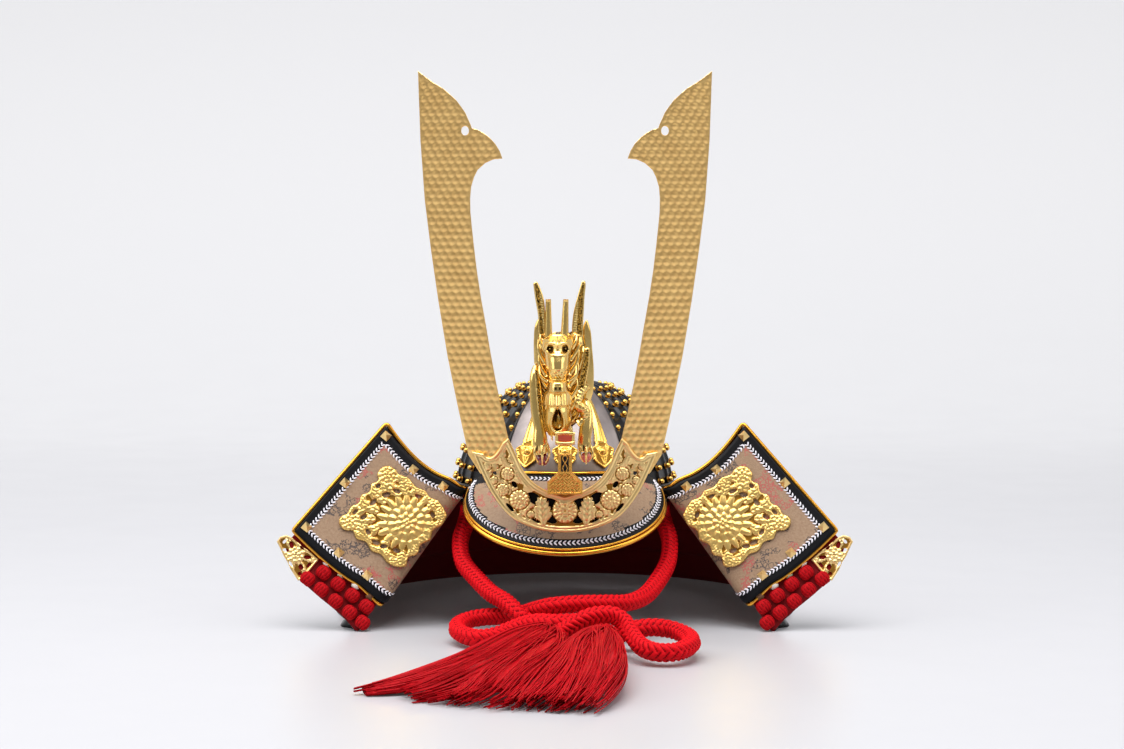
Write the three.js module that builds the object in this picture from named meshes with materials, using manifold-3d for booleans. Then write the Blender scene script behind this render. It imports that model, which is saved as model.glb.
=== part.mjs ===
// Kabuto, a samurai helmet for display. Millimetres, +Z up, front towards -Y, table at z = 0.
// The bowl's axis is the Z axis. Left and right are those of somebody looking at its front.
import * as THREE from 'three';
import { mergeVertices } from 'three/addons/utils/BufferGeometryUtils.js';
import Module from 'manifold-3d';

const wasm = await Module();
wasm.setup();

// ---- Driving dimensions ----
const GAP = 0.3;                                    // between pieces that touch
const BOWL = { halfWidth: 57.6, halfDepth: 62, height: 62, base: 62, wall: 1.6, crownHole: 8 };
const RIBS = { pitch: 12, first: 36, height: 1, halfAngle: 1.1, fadeFrom: 62, fadeTo: 80 };
const RIVET = { halfLength: 1.9, height: 3.2, elevations: [17, 31, 45, 59], clearOfPeak: 56 };
const BAND = { height: 9.6, base: 60, wall: 2, proud: 1 };
const PLATE = { halfAngle: 34.2, low: 9, high: 79, lift: 0.8, wall: 0.8 };
const STRIP = { angle: 21, low: 17.5, high: 77, lift: 2.3, wall: 0.8 };
const PEAK = { lift: 2.3, wall: 1.6, bulge: 3, span: 53.5, top: 78.5, topDrop: 7, reach: 57, rise: 19.5 };
const PEAK_EDGE = { halfWidth: 50.5, depth: 40, low: 43.8, sweep: 115 };
const GUARD = { wall: 2.1, step: 3.4, topWidth: 61.5, topDepth: 66, foot: 121, top: 66 };
const WING = { origin: [51, -52, 69], ruling: 96, height: 0.75, footLift: 2.9 };
const RIM = { radius: 1.25, sides: 5, lift: 0.7 };
const CORD = { radius: 4.3, sides: 8 };
const BASE = { wall: 1.6, y: -98, curve: 400, lean: 0.045 };
const HORN = { wall: 1.2, middle: 37 };
const FACING = { wall: 1, clear: 0.6 };
const SIDES = [['left', -1], ['right', 1]];

const part = new THREE.Group();
const radians = THREE.MathUtils.degToRad;
const point = (x, y, z) => new THREE.Vector3(x, y, z);

// ---- Materials ----
const finish = (color, roughness, metalness) => () =>
  new THREE.MeshStandardMaterial({ color, roughness, metalness, side: THREE.FrontSide });
const blackLacquer = finish('#15161c', 0.35, 0.1);
const silver = finish('#9c9aa4', 0.35, 0.9);
const brightGold = finish('#e8b84a', 0.22, 1);
const deepGold = finish('#c8862a', 0.3, 1);
const satinGold = finish('#cda053', 0.45, 1);
const leather = finish('#b29c8c', 0.8, 0);
const redSilk = finish('#c8161c', 0.7, 0);
const garnet = finish('#7a1020', 0.15, 0);
const coral = finish('#c8502e', 0.4, 0.2);

function add(name, geometry, material) {
  const mesh = new THREE.Mesh(geometry, material());
  mesh.name = name;
  part.add(mesh);
}

// ---- Solids and booleans ----
function toSolid(geometry) {
  const bare = geometry.clone();
  bare.deleteAttribute('normal');
  bare.deleteAttribute('uv');
  const welded = mergeVertices(bare, 1e-5);
  return new wasm.Manifold(new wasm.Mesh({
    numProp: 3,
    vertProperties: new Float32Array(welded.attributes.position.array),
    triVerts: new Uint32Array(welded.index.array),
  }));
}

function toGeometry(solid) {
  const mesh = solid.getMesh();
  const geometry = new THREE.BufferGeometry();
  geometry.setAttribute('position', new THREE.BufferAttribute(new Float32Array(mesh.vertProperties), 3));
  geometry.setIndex(new THREE.BufferAttribute(new Uint32Array(mesh.triVerts), 1));
  return geometry;
}

const fuse = (geometries) => geometries.map(toSolid).reduce((whole, next) => whole.add(next));

// The same geometry on the other side of the helmet, with its faces still looking out.
function onSide(geometry, side) {
  if (side > 0) return geometry;
  const flipped = geometry.clone().scale(-1, 1, 1);
  if (!flipped.index) return flipIndex(mergeVertices(flipped));
  return flipIndex(flipped);
}

function flipIndex(geometry) {
  const index = geometry.index.array;
  for (let i = 0; i < index.length; i += 3) [index[i + 1], index[i + 2]] = [index[i + 2], index[i + 1]];
  return geometry;
}

function enclosedVolume(geometry) {
  const { position } = geometry.attributes;
  const [a, b, c] = [point(), point(), point()];
  let sum = 0;
  for (let i = 0; i < geometry.index.count; i += 3) {
    a.fromBufferAttribute(position, geometry.index.getX(i));
    b.fromBufferAttribute(position, geometry.index.getX(i + 1));
    c.fromBufferAttribute(position, geometry.index.getX(i + 2));
    sum += a.dot(b.cross(c));
  }
  return sum;
}

// A closed sheet between two surfaces. columns and rows list the places of its grid lines.
function sheet(front, back, columns, rows, ring = false) {
  const positions = [];
  const faces = [];
  const width = columns.length;
  const height = rows.length;
  const at = (side, i, j) => (side * width + (i % width)) * height + j;
  const quad = (a, b, c, d) => faces.push(a, b, c, a, c, d);
  for (const surface of [front, back]) {
    for (const u of columns) for (const v of rows) positions.push(...surface(u, v).toArray());
  }
  for (let i = 0; i < (ring ? width : width - 1); i += 1) {
    for (let j = 0; j < height - 1; j += 1) {
      quad(at(0, i, j), at(0, i + 1, j), at(0, i + 1, j + 1), at(0, i, j + 1));
      quad(at(1, i, j), at(1, i, j + 1), at(1, i + 1, j + 1), at(1, i + 1, j));
    }
    quad(at(0, i, 0), at(1, i, 0), at(1, i + 1, 0), at(0, i + 1, 0));
    quad(at(0, i, height - 1), at(0, i + 1, height - 1), at(1, i + 1, height - 1), at(1, i, height - 1));
  }
  for (let j = 0; !ring && j < height - 1; j += 1) {
    quad(at(0, 0, j), at(0, 0, j + 1), at(1, 0, j + 1), at(1, 0, j));
    const last = width - 1;
    quad(at(0, last, j), at(1, last, j), at(1, last, j + 1), at(0, last, j + 1));
  }
  const geometry = new THREE.BufferGeometry();
  geometry.setAttribute('position', new THREE.Float32BufferAttribute(positions, 3));
  geometry.setIndex(faces);
  return enclosedVolume(geometry) < 0 ? flipIndex(geometry) : geometry;
}

const steps = (from, to, count) => Array.from({ length: count + 1 }, (_, i) => from + (to - from) * i / count);

// A round bar along a smooth curve through the points.
function bar(points, radius, sides, count, squash = 1) {
  const section = new THREE.Shape(steps(0, 2 * Math.PI, sides).slice(0, -1)
    .map((angle) => new THREE.Vector2(radius * squash * Math.cos(angle), radius * Math.sin(angle))));
  const extrudePath = new THREE.CatmullRomCurve3(points, false, 'centripetal');
  return new THREE.ExtrudeGeometry(section, { steps: count, bevelEnabled: false, extrudePath });
}

// A bar whose half width and half height change along it, from a table with columns
// x, y, z, across and thick. It is closed at both ends.
function lock(rows, sides) {
  const centres = rows.map(([x, y, z]) => point(x, y, z));
  const ring = (u, angle) => {
    const next = centres[Math.min(u + 1, rows.length - 1)];
    const along = next.clone().sub(centres[Math.max(u - 1, 0)]).normalize();
    const across = along.clone().cross(point(0, 0, 1)).normalize();
    const up = across.clone().cross(along);
    return centres[u].clone().addScaledVector(across, rows[u][3] * Math.cos(angle))
      .addScaledVector(up, rows[u][4] * Math.sin(angle));
  };
  const positions = [];
  const faces = [];
  rows.forEach((row, u) => {
    for (let k = 0; k < sides; k += 1) positions.push(...ring(u, 2 * Math.PI * k / sides).toArray());
  });
  for (let u = 0; u < rows.length - 1; u += 1) {
    for (let k = 0; k < sides; k += 1) {
      const [a, b] = [u * sides + k, u * sides + (k + 1) % sides];
      faces.push(a, b, b + sides, a, b + sides, a + sides);
    }
  }
  const last = (rows.length - 1) * sides;
  for (let k = 1; k < sides - 1; k += 1) faces.push(0, k + 1, k, last, last + k, last + k + 1);
  const geometry = new THREE.BufferGeometry();
  geometry.setAttribute('position', new THREE.Float32BufferAttribute(positions, 3));
  geometry.setIndex(faces);
  return enclosedVolume(geometry) < 0 ? flipIndex(geometry) : geometry;
}

// ---- Bowl ----
// A point on the bowl: angle is measured round it from the front, towards the right.
function onBowl(angle, elevation, lift = 0) {
  const [turn, rise] = [radians(angle), radians(elevation)];
  return point((BOWL.halfWidth + lift) * Math.cos(rise) * Math.sin(turn),
    -(BOWL.halfDepth + lift) * Math.cos(rise) * Math.cos(turn),
    BOWL.base + (BOWL.height + lift) * Math.sin(rise));
}

const bowlFoot = THREE.MathUtils.radToDeg(Math.asin((BAND.base + BAND.height + GAP - BOWL.base) / BOWL.height));
const bowlTop = THREE.MathUtils.radToDeg(Math.acos(BOWL.crownHole / BOWL.halfWidth));
const ribAngles = [];
for (let angle = RIBS.first; angle <= 360 - RIBS.first; angle += RIBS.pitch) ribAngles.push(angle);

function bowl() {
  const columns = [-24, -12, 0, 12, 24];
  for (const rib of ribAngles) columns.push(rib - RIBS.halfAngle, rib, rib + RIBS.halfAngle);
  const rivetReach = THREE.MathUtils.radToDeg(RIVET.halfLength / BOWL.halfDepth);
  const rows = [bowlFoot];
  for (const middle of RIVET.elevations) rows.push(middle - rivetReach, middle, middle + rivetReach);
  rows.push(RIBS.fadeTo, bowlTop);
  // Each rivet is a small pyramid on its rib.
  const outside = (angle, elevation) => {
    if (!ribAngles.includes(angle)) return onBowl(angle, elevation);
    const hidden = Math.min(angle, 360 - angle) < RIVET.clearOfPeak && elevation === RIVET.elevations[0];
    if (RIVET.elevations.includes(elevation) && !hidden) return onBowl(angle, elevation, RIVET.height);
    const fade = THREE.MathUtils.smoothstep(elevation, RIBS.fadeFrom, RIBS.fadeTo);
    return onBowl(angle, elevation, RIBS.height * (1 - fade));
  };
  const deepInside = (angle, elevation) => onBowl(angle, elevation, -5 * BOWL.wall);
  const dome = toSolid(sheet(outside, deepInside, columns, rows, true));
  const hollow = new THREE.SphereGeometry(1, 24, 10).rotateX(Math.PI / 2).scale(BOWL.halfWidth - BOWL.wall,
    BOWL.halfDepth - BOWL.wall, BOWL.height - BOWL.wall).translate(0, 0, BOWL.base);
  return toGeometry(dome.subtract(toSolid(hollow)));
}

function ellipseRing(proud, wall, low, high, count) {
  const at = (inset) => (angle, z) => point((BOWL.halfWidth + proud - inset) * Math.sin(radians(angle)),
    -(BOWL.halfDepth + proud - inset) * Math.cos(radians(angle)), z);
  return sheet(at(0), at(wall), steps(0, 360, count).slice(0, -1), [low, high], true);
}

function crownRing() {
  const base = BOWL.base + BOWL.height * Math.sin(radians(bowlTop)) + GAP + 0.6;
  const profile = [[5, 0], [10.5, 0], [10.5, 1], [8.5, 2.2], [7, 2.6], [6.6, 4.2], [5, 4.2], [5, 0]];
  return new THREE.LatheGeometry(profile.map(([r, z]) => new THREE.Vector2(r, z)), 14)
    .rotateX(Math.PI / 2).translate(0, 0, base);
}

// The strips run down the bright plate and end in an arrow with a wide head.
function strip(angle) {
  const outline = [[0, 0.3], [0.07, 5.5], [0.15, 6.5], [0.2, 2.6], [0.36, 2.3], [0.52, 2], [0.68, 1.8], [0.84, 1.5], [1, 1.3]];
  const surface = (lift) => (u, v) => {
    const [along, halfWidth] = outline[v];
    const elevation = STRIP.low + (STRIP.high - STRIP.low) * along;
    const halfAngle = halfWidth / (BOWL.halfDepth * Math.cos(radians(elevation)));
    return onBowl(angle + u * THREE.MathUtils.radToDeg(halfAngle), elevation, lift);
  };
  return sheet(surface(STRIP.lift + STRIP.wall), surface(STRIP.lift), [-1, 0, 1], outline.map((_, i) => i));
}

add('bowl', bowl(), blackLacquer);
add('waist_band', ellipseRing(BAND.proud, BAND.wall, BAND.base, BAND.base + BAND.height, 28), blackLacquer);
add('crown_ring', crownRing(), deepGold);
const frontPlate = (lift) => (angle, elevation) => onBowl(angle, elevation, lift);
add('front_plate', sheet(frontPlate(PLATE.lift + PLATE.wall), frontPlate(PLATE.lift),
  steps(-PLATE.halfAngle, PLATE.halfAngle, 7), steps(PLATE.low, PLATE.high, 7)), silver);
for (const [name, turn] of [['left', -1], ['centre', 0], ['right', 1]]) {
  add(`front_strip_${name}`, strip(turn * STRIP.angle), brightGold);
}

// ---- Peak ----
// u runs from -1 at the left end to 1 at the right, v from 0 on the bowl to 1 at the free edge.
function peakUnder(u, v) {
  const z = PEAK.top - PEAK.topDrop * Math.abs(u) ** 3;
  const elevation = THREE.MathUtils.radToDeg(Math.asin((z - BOWL.base) / BOWL.height));
  const root = onBowl(PEAK.span * u, elevation, PEAK.lift);
  const sweep = radians(PEAK_EDGE.sweep * u);
  const edge = point(PEAK_EDGE.halfWidth * Math.sin(sweep), -PEAK.reach - PEAK_EDGE.depth * Math.cos(sweep),
    PEAK_EDGE.low + PEAK.rise * (1 - Math.cos(sweep)));
  const swell = PEAK.bulge * Math.sin(Math.PI * v) * Math.cos(u * Math.PI / 2);
  return root.lerp(edge, v).add(point(0, -swell * 0.6, swell * 0.8));
}

function peakOut(u, v) {
  const step = 0.01;
  const [a, b] = [Math.min(u + step, 1), Math.max(u - step, -1)];
  const [c, d] = [Math.min(v + step, 1), Math.max(v - step, 0)];
  const across = peakUnder(a, v).sub(peakUnder(b, v));
  const along = peakUnder(u, c).sub(peakUnder(u, d));
  return along.cross(across).normalize();
}

const peakPoint = (u, v, lift) => peakUnder(u, v).addScaledVector(peakOut(u, v), lift);
add('peak', sheet((u, v) => peakPoint(u, v, PEAK.wall), (u, v) => peakPoint(u, v, 0),
  steps(-1, 1, 24), [0, 0.4, 0.75, 1]), leather);

function peakRimPath() {
  return steps(-0.95, 0.95, 28).map((u) => {
    const edge = peakPoint(u, 1, PEAK.wall / 2);
    const outward = edge.clone().sub(peakPoint(u, 0.9, PEAK.wall / 2)).normalize();
    return edge.addScaledVector(outward, RIM.radius + GAP + 0.6);
  });
}
add('peak_rim', bar(peakRimPath(), RIM.radius, RIM.sides, 28), deepGold);

// ---- Neck guard ----
// A station is a place along the guard's path, on the right side from the middle of the back to the
// free edge of the wing. base is on its top line, and ruling runs from there down to the foot line.
// Both wings lie in planes, past the fold.
const rulingUnit = point(45, -24, -51).normalize();
const edgeUnit = point(42.7, 6.3, 33).normalize();
const faceOut = point(-0.12, -0.935, 0.335).normalize();

function guardStations() {
  const rows = [];
  for (const angle of steps(0, 110, 10)) {
    const [sin, cos] = [Math.sin(radians(angle)), Math.cos(radians(angle))];
    const base = point(GUARD.topWidth * sin, GUARD.topDepth * cos, GUARD.top);
    rows.push({ base, ruling: point(GUARD.foot * sin, GUARD.foot * cos, 0).sub(base), foot: 1, across: null, proud: 0 });
  }
  // Columns: the top, the ruling, foot as a fraction of it, and how far the lame is proud there.
  const fold = [[54.8, -33, 66.7, 60, -32, -68, 0.98, 0], [52.6, -41, 68, 55, -33, -71, 0.955, 0.4],
    [52.8, -47, 69, 53, -33, -73, 0.94, 0.8], [55.8, -50.9, 70.4, 52.4, -33, -73.7, 0.95, 1]];
  for (const [x, y, z, across, back, down, foot, proud] of fold) {
    rows.push({ base: point(x, y, z), ruling: point(across, back, down), foot, across: null, proud });
  }
  const wing = [[10, 2.2, 0.955], [18, 4.3, 0.95], [27, 5, 0.947], [36, 4.2, 0.94], [45, 2.4, 0.905], [53.5, 0, 0.865]];
  for (const [across, sag, foot] of wing) {
    const base = point(...WING.origin).addScaledVector(edgeUnit, across).addScaledVector(rulingUnit, sag);
    const ruling = rulingUnit.clone().multiplyScalar(WING.ruling - sag * 0.8);
    rows.push({ base, ruling, foot, across, proud: 1 });
  }
  return rows;
}
const stations = guardStations();
const foldStart = stations.findIndex((row) => row.base.y === -33);
const lastStation = stations.length - 1;

// out: level, square to the guard, away from the head, or backwards on a wing.
stations.forEach((row, i) => {
  const before = stations[Math.max(i - 1, 0)].base;
  const after = stations[Math.min(i + 1, lastStation)].base;
  row.out = after.clone().sub(before).cross(row.ruling).setZ(0).normalize();
  if (i === 0) row.out = point(0, 1, 0);
  if (row.across !== null) row.out = faceOut.clone().negate().setZ(0).normalize();
});

// A station may lie between two rows of the list, and a negative one is on the left.
function guardPoint(station, down, lift) {
  const at = Math.abs(station);
  const [before, after] = [Math.floor(at), Math.ceil(at)].map((i) => {
    const { base, ruling, out } = stations[i];
    return base.clone().addScaledVector(ruling, down).addScaledVector(out, lift);
  });
  const place = before.lerp(after, at % 1);
  return station < 0 ? place.setX(-place.x) : place;
}

// A strip of the guard between stations, from one fraction of the ruling down to another.
// lift is how far it stands off the guard's own face, away from the head: at its top, at its foot
// and at its foot on a wing.
function guardStrip(from, to, top, foot, lift = [0, 0, 0], wall = GUARD.wall) {
  const columns = [from, ...steps(Math.ceil(from + 0.5), Math.floor(to - 0.5),
    Math.floor(to - 0.5) - Math.ceil(from + 0.5)), to];
  const surface = (extra) => (i, v) => {
    const row = stations[Math.round(Math.abs(i))];
    const low = foot === 1 ? row.foot : foot;
    const footLift = lift[1] + (lift[2] - lift[1]) * row.proud;
    return guardPoint(i, top + (low - top) * v, lift[0] + (footLift - lift[0]) * v + extra);
  };
  return sheet(surface(wall), surface(0), columns, [0, 1]);
}

const wingPanels = [guardStrip(foldStart, lastStation, 0.2, WING.height),
  guardStrip(-lastStation, -foldStart, 0.2, WING.height)];
add('lame_1', toGeometry(fuse([guardStrip(-lastStation, lastStation, 0, 0.26), ...wingPanels])), blackLacquer);
const backEnd = foldStart - 0.2;
add('lame_2', guardStrip(-backEnd, backEnd, 0.22, 0.5, [GUARD.step, 0, 0]), blackLacquer);
add('lame_3', guardStrip(-backEnd, backEnd, 0.46, 0.75, [GUARD.step, 0, 0]), blackLacquer);
add('lame_4', guardStrip(-lastStation, lastStation, 0.71, 1, [GUARD.step, 0, WING.footLift]), blackLacquer);

// Silk lacing: plain bands on the back, and staggered knots on the small wings.
const lacedBack = [['lacing_back_1', 0.05, 0.19, 0, 0], ['lacing_back_2', 0.29, 0.43, 2.55, 0.85],
  ['lacing_back_3', 0.53, 0.68, 2.58, 0.82], ['lacing_back_4', 0.79, 0.955, 2.46, 0.53]];
for (const [name, top, foot, topLift, footLift] of lacedBack) {
  const clear = GUARD.wall + 1.6 * GAP;
  const lift = [topLift + clear, footLift + clear, footLift + clear];
  add(name, guardStrip(-backEnd + 1, backEnd - 1, top, foot, lift, 1.6), redSilk);
}

// A place on a wing: across from the fold's line, down the ruling, and out from its face.
function onWing(across, down, out, side = 1) {
  const place = point(...WING.origin).addScaledVector(edgeUnit, across)
    .addScaledVector(rulingUnit, down).addScaledVector(faceOut, out);
  return side < 0 ? place.setX(-place.x) : place;
}

function wingKnots(side) {
  const knots = { first: 2, pitch: 10.2, halves: 6, top: 77.8, tall: 6.8, seat: -2.3, skin: 1.1, out: 2.6 };
  const at = (i, j, out) => onWing(knots.first + knots.pitch / 2 * i, knots.top + j * knots.tall / 2, out, side);
  const back = (i, j) => at(i, j, knots.seat);
  // Every other half pitch is the top of a knot, and the lower row is half a pitch along.
  const front = (i, j) => {
    const isTop = j % 2 === 1 && (i + (j - 1) / 2) % 2 === 1;
    return at(i, j, knots.seat + knots.skin + (isTop ? knots.out : 0));
  };
  return sheet(front, back, steps(0, knots.halves, knots.halves), steps(0, 4, 4));
}

// ---- Wing fittings ----
function wingRimPath(side) {
  const path = [];
  const offset = RIM.radius + GAP + 0.4;
  const top = stations.filter((row, i) => i >= foldStart + 2);
  const middle = (row, down, slide) => row.base.clone().addScaledVector(row.ruling, down)
    .addScaledVector(rulingUnit, slide).addScaledVector(row.out, RIM.lift);
  top.forEach((row) => path.push(middle(row, 0, -offset)));
  const corner = stations[lastStation];
  const edge = (down) => corner.base.clone().addScaledVector(corner.ruling, down)
    .addScaledVector(edgeUnit, offset).addScaledVector(corner.out, RIM.lift);
  const rimReach = offset / WING.ruling;
  for (const down of [-rimReach, 0.02, 0.25, 0.5, WING.height - 0.02, WING.height + rimReach]) path.push(edge(down));
  [...top].reverse().forEach((row) => path.push(middle(row, WING.height, offset)));
  return path.map((place) => (side < 0 ? place.setX(-place.x) : place));
}

// Flat shapes on a wing are drawn in its own plane: across and down, in millimetres.
function onWingPlane(geometry, out, side) {
  const flat = geometry.index ? geometry : mergeVertices(geometry);
  const { position } = flat.attributes;
  for (let i = 0; i < position.count; i += 1) {
    const place = onWing(position.getX(i), position.getY(i), position.getZ(i) + out, 1);
    position.setXYZ(i, place.x, place.y, place.z);
  }
  const solid = enclosedVolume(flat) < 0 ? flipIndex(flat) : flat;
  return onSide(solid, side);
}

const slab = (shape, depth) => new THREE.ExtrudeGeometry(shape, { depth, bevelEnabled: false, curveSegments: 3 });

function hole(x, y, halfWidth, halfHeight, angle = 0) {
  const path = new THREE.Path();
  path.absellipse(x, y, halfWidth, halfHeight, 0, 2 * Math.PI, false, angle);
  return path;
}

// A flower of pointed petals round a boss, flat side at z = 0.
function flower(x, y, petals, radius, height, twist = 0) {
  const pieces = [new THREE.CylinderGeometry(radius * 0.28, radius * 0.4, height * 1.4, 6)
    .rotateX(Math.PI / 2).translate(x, y, height * 0.7)];
  for (const turn of steps(0, 2 * Math.PI, petals).slice(0, -1)) {
    const petal = new THREE.ConeGeometry(radius * 0.36, radius, 4).rotateY(Math.PI / 4)
      .scale(1, 1, height / radius * 2.2).rotateZ(Math.PI).translate(0, radius * 0.52, 0);
    pieces.push(petal.rotateZ(turn + twist).translate(x, y, 0));
  }
  return pieces;
}

function trimmed(solids, side, out) {
  const whole = solids.reduce((sum, next) => sum.add(next)).trimByPlane([0, 0, 1], 0.01);
  return onWingPlane(toGeometry(whole), out, side);
}

// The leather is glued to the wing's face, so what is riveted to it stands out by its thickness.
const facingOut = (FACING.wall + FACING.clear) * 0.945;
function wingLeather(side) {
  const [low, high] = [foldStart + 1, lastStation];
  const lift = new Array(3).fill(-FACING.wall - FACING.clear);
  const ends = side > 0 ? [low, high] : [-high, -low];
  return guardStrip(...ends, 0.015, 0.735, lift, FACING.wall);
}

function peonyPlaque(side) {
  const plaque = new THREE.Shape([[5, 19], [9, 15], [37, 15.5], [41, 19], [41.5, 36], [40, 53], [36, 55.5],
    [8, 55], [5, 51]].map(([x, y]) => new THREE.Vector2(x, y)));
  const openings = [[13.5, 50.5, 1.6, 2.6, 0.3], [18.5, 51.5, 1.3, 2.4, -0.2], [24, 51.5, 1.4, 2.4, 0.2],
    [30, 51.5, 1.4, 2.4, -0.3], [35.5, 50.5, 1.6, 2.6, 0.3], [37, 20, 1.5, 2.2, 0.5]];
  for (const row of openings) plaque.holes.push(hole(...row));
  const solids = [toSolid(slab(plaque, 0.9)), ...flower(15, 34, 7, 9.4, 2.6).map(toSolid)];
  for (const [x, y, turn] of [[12, 47, 2.6], [32, 45, -2.2], [32, 24, -0.9], [22, 21, -0.2]]) {
    solids.push(toSolid(new THREE.ConeGeometry(3.4, 10, 4).rotateY(Math.PI / 4).scale(1, 1, 0.6)
      .rotateZ(turn).translate(x, y, 0)));
  }
  return trimmed(solids, side, facingOut + GAP);
}

function flowerPlaque(side) {
  const plate = new THREE.Shape([[34.8, 76.5], [56, 76.5], [57.6, 82.5], [36, 91.5], [34.8, 89]]
    .map(([x, y]) => new THREE.Vector2(x, y)));
  for (const row of [[39, 79.5, 1.6, 1.2, 0], [38.5, 87, 1.2, 1.6, 0.5], [52.5, 79.5, 1.6, 1, 0]]) {
    plate.holes.push(hole(...row));
  }
  return trimmed([toSolid(slab(plate, 1)), ...flower(45.5, 81.7, 6, 5, 1.8).map(toSolid)], side, -2.3);
}

const studs = [
  // across, down
  [50.3, 4.2], [50.3, 37], [50.3, 67.6], [29, 67.6], [10.5, 67.6], [28, 9.2], [10.5, 6.4],
];

function stud(across, down, side) {
  const pyramid = new THREE.ConeGeometry(3, 2.3, 4).rotateY(Math.PI / 4).rotateX(Math.PI / 2)
    .translate(across, down, 1.15);
  return onWingPlane(pyramid, facingOut + GAP, side);
}

for (const [name, side] of SIDES) {
  const ends = side > 0 ? wingRimPath(side) : wingRimPath(side).reverse();
  add(`wing_rim_${name}`, bar(ends, RIM.radius, RIM.sides, 34), deepGold);
  add(`wing_leather_${name}`, wingLeather(side), leather);
  add(`peony_plaque_${name}`, peonyPlaque(side), brightGold);
  add(`flower_plaque_${name}`, flowerPlaque(side), brightGold);
  add(`lacing_wing_${name}`, wingKnots(side), redSilk);
  studs.forEach(([across, down], i) => {
    add(`wing_stud_${name}_${i + 1}`, stud(across, down, side), brightGold);
  });
}

// ---- Horn base and horns ----
// Drawn from the front in x and z, then bent round the peak and leaned.
function upright(shape, depth, y, lean, curve = Infinity, holdAt = 60) {
  const geometry = mergeVertices(slab(shape, depth).rotateX(Math.PI / 2));
  const { position } = geometry.attributes;
  for (let i = 0; i < position.count; i += 1) {
    const [x, z] = [position.getX(i), position.getZ(i)];
    position.setY(i, position.getY(i) + y + x * x / curve - lean * (z - holdAt));
  }
  return enclosedVolume(geometry) < 0 ? flipIndex(geometry) : geometry;
}

const toShape = (rows) => new THREE.Shape(rows.map(([x, z]) => new THREE.Vector2(x, z)));

const baseOuter = [[0, 53.3], [9, 54], [18, 56.4], [26, 60.3], [32, 66], [37.5, 74], [42.6, 84.4], [46.8, 94]];
const baseInner = [[41, 93], [38, 91], [33, 95.6], [28.5, 101], [24.5, 92.6], [21, 85], [15.4, 78.4], [8.5, 74.4],
  [0, 71.6]];

function hornBase() {
  const right = [...baseOuter, ...baseInner];
  const left = right.slice(1, -1).reverse().map(([x, z]) => [-x, z]);
  const whole = toShape([...right, ...left]);
  for (const side of [-1, 1]) {
    const openings = [[6.6, 68.7, 1.4, 1.6, 0], [15.6, 70.3, 1.7, 2.2, 0], [7.2, 60.2, 1.5, 1.8, 0.3],
      [14.6, 60.8, 1.8, 1.1, 0.3], [35.5, 84.5, 1.1, 2.2, 0.3]];
    for (const [x, z, halfWidth, halfHeight, angle] of openings) {
      whole.holes.push(hole(side * x, z, halfWidth, halfHeight, side * angle));
    }
  }
  const plate = upright(whole, BASE.wall, BASE.y, BASE.lean, BASE.curve);
  const pieces = [toSolid(plate)];
  const onBase = (x, z, out) => point(x, BASE.y - BASE.wall - out + x * x / BASE.curve - BASE.lean * (z - 60), z);
  const edges = [mirroredPath(baseOuter), mirroredPath(baseInner)];
  for (const edge of edges) {
    pieces.push(toSolid(bar(edge.map(([x, z]) => onBase(x, z, -0.3)), 0.95, 4, 14)));
  }
  const blossoms = [[0, 64.4, 6.2], [23, 69.8, 4.9], [-23, 69.8, 4.9], [31.3, 74.8, 3], [-31.3, 74.8, 3],
    [28.8, 83, 3.3], [-28.8, 83, 3.3]];
  for (const [x, z, radius] of blossoms) {
    const disc = new THREE.CylinderGeometry(radius * 0.55, radius, 1.8, 7);
    const seat = onBase(x, z, 0.4);
    pieces.push(toSolid(disc.rotateX(Math.PI / 2).rotateX(BASE.lean).translate(seat.x, seat.y, seat.z)));
  }
  for (const side of [-1, 1]) {
    const leaf = new THREE.ConeGeometry(3, 11, 5).scale(1, 1, 0.5).rotateZ(side * 0.35);
    const seat = onBase(side * 11, 64.5, 0);
    pieces.push(toSolid(leaf.translate(seat.x, seat.y, seat.z)));
  }
  const foot = new THREE.BoxGeometry(12, 9, 4).translate(0, BASE.y + 4.2, 56);
  pieces.push(toSolid(foot).subtract(peakKeepout()));
  return toGeometry(pieces.reduce((sum, next) => sum.add(next)));
}

function mirroredPath(rows) {
  const right = rows[0][0] === 0 ? rows : [...rows].reverse();
  return [...right.slice(1).reverse().map(([x, z]) => [-x, z]), ...right];
}

// The space that the peak and a small gap take, for what is seated on it.
function peakKeepout() {
  return toSolid(sheet((u, v) => peakPoint(u, v, PEAK.wall + GAP), (u, v) => peakPoint(u, v, -12),
    steps(-0.6, 0.6, 20), [0, 0.33, 0.67, 1]));
}

const hornOutline = [[48.6, 92], [54, 117], [59, 142], [63.5, 170], [67, 195], [70, 220], [72, 250], [73, 284],
  [64.5, 277.7], [57, 272.3], [51.5, 266.3], [48, 260], [46.2, 255.6], [40.6, 253.4], [34.6, 248], [31, 240.6],
  [35.5, 240.2], [39.6, 238.4], [43.4, 235], [45.2, 231.5], [47.2, 221], [46.5, 207.5], [44, 185], [39.5, 157.4],
  [34.7, 129.7], [28.7, 101.9], [25, 86], [42.5, 82.5]];

// A horn is flat, and stands just behind the arm of the base, square to it at its middle.
function horn(side) {
  const shape = toShape(hornOutline);
  shape.holes.push(hole(49.6, 254.4, 1.9, 2.3, -0.4));
  const plate = upright(shape, HORN.wall, BASE.y + HORN.wall + 0.4 + GAP, BASE.lean);
  const { position } = plate.attributes;
  for (let i = 0; i < position.count; i += 1) {
    const tangent = HORN.middle * (2 * position.getX(i) - HORN.middle) / BASE.curve;
    position.setY(i, position.getY(i) + tangent);
  }
  return onSide(plate, side);
}

add('horn_base', hornBase(), satinGold);
for (const [name, side] of SIDES) add(`horn_${name}`, horn(side), satinGold);

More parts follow.
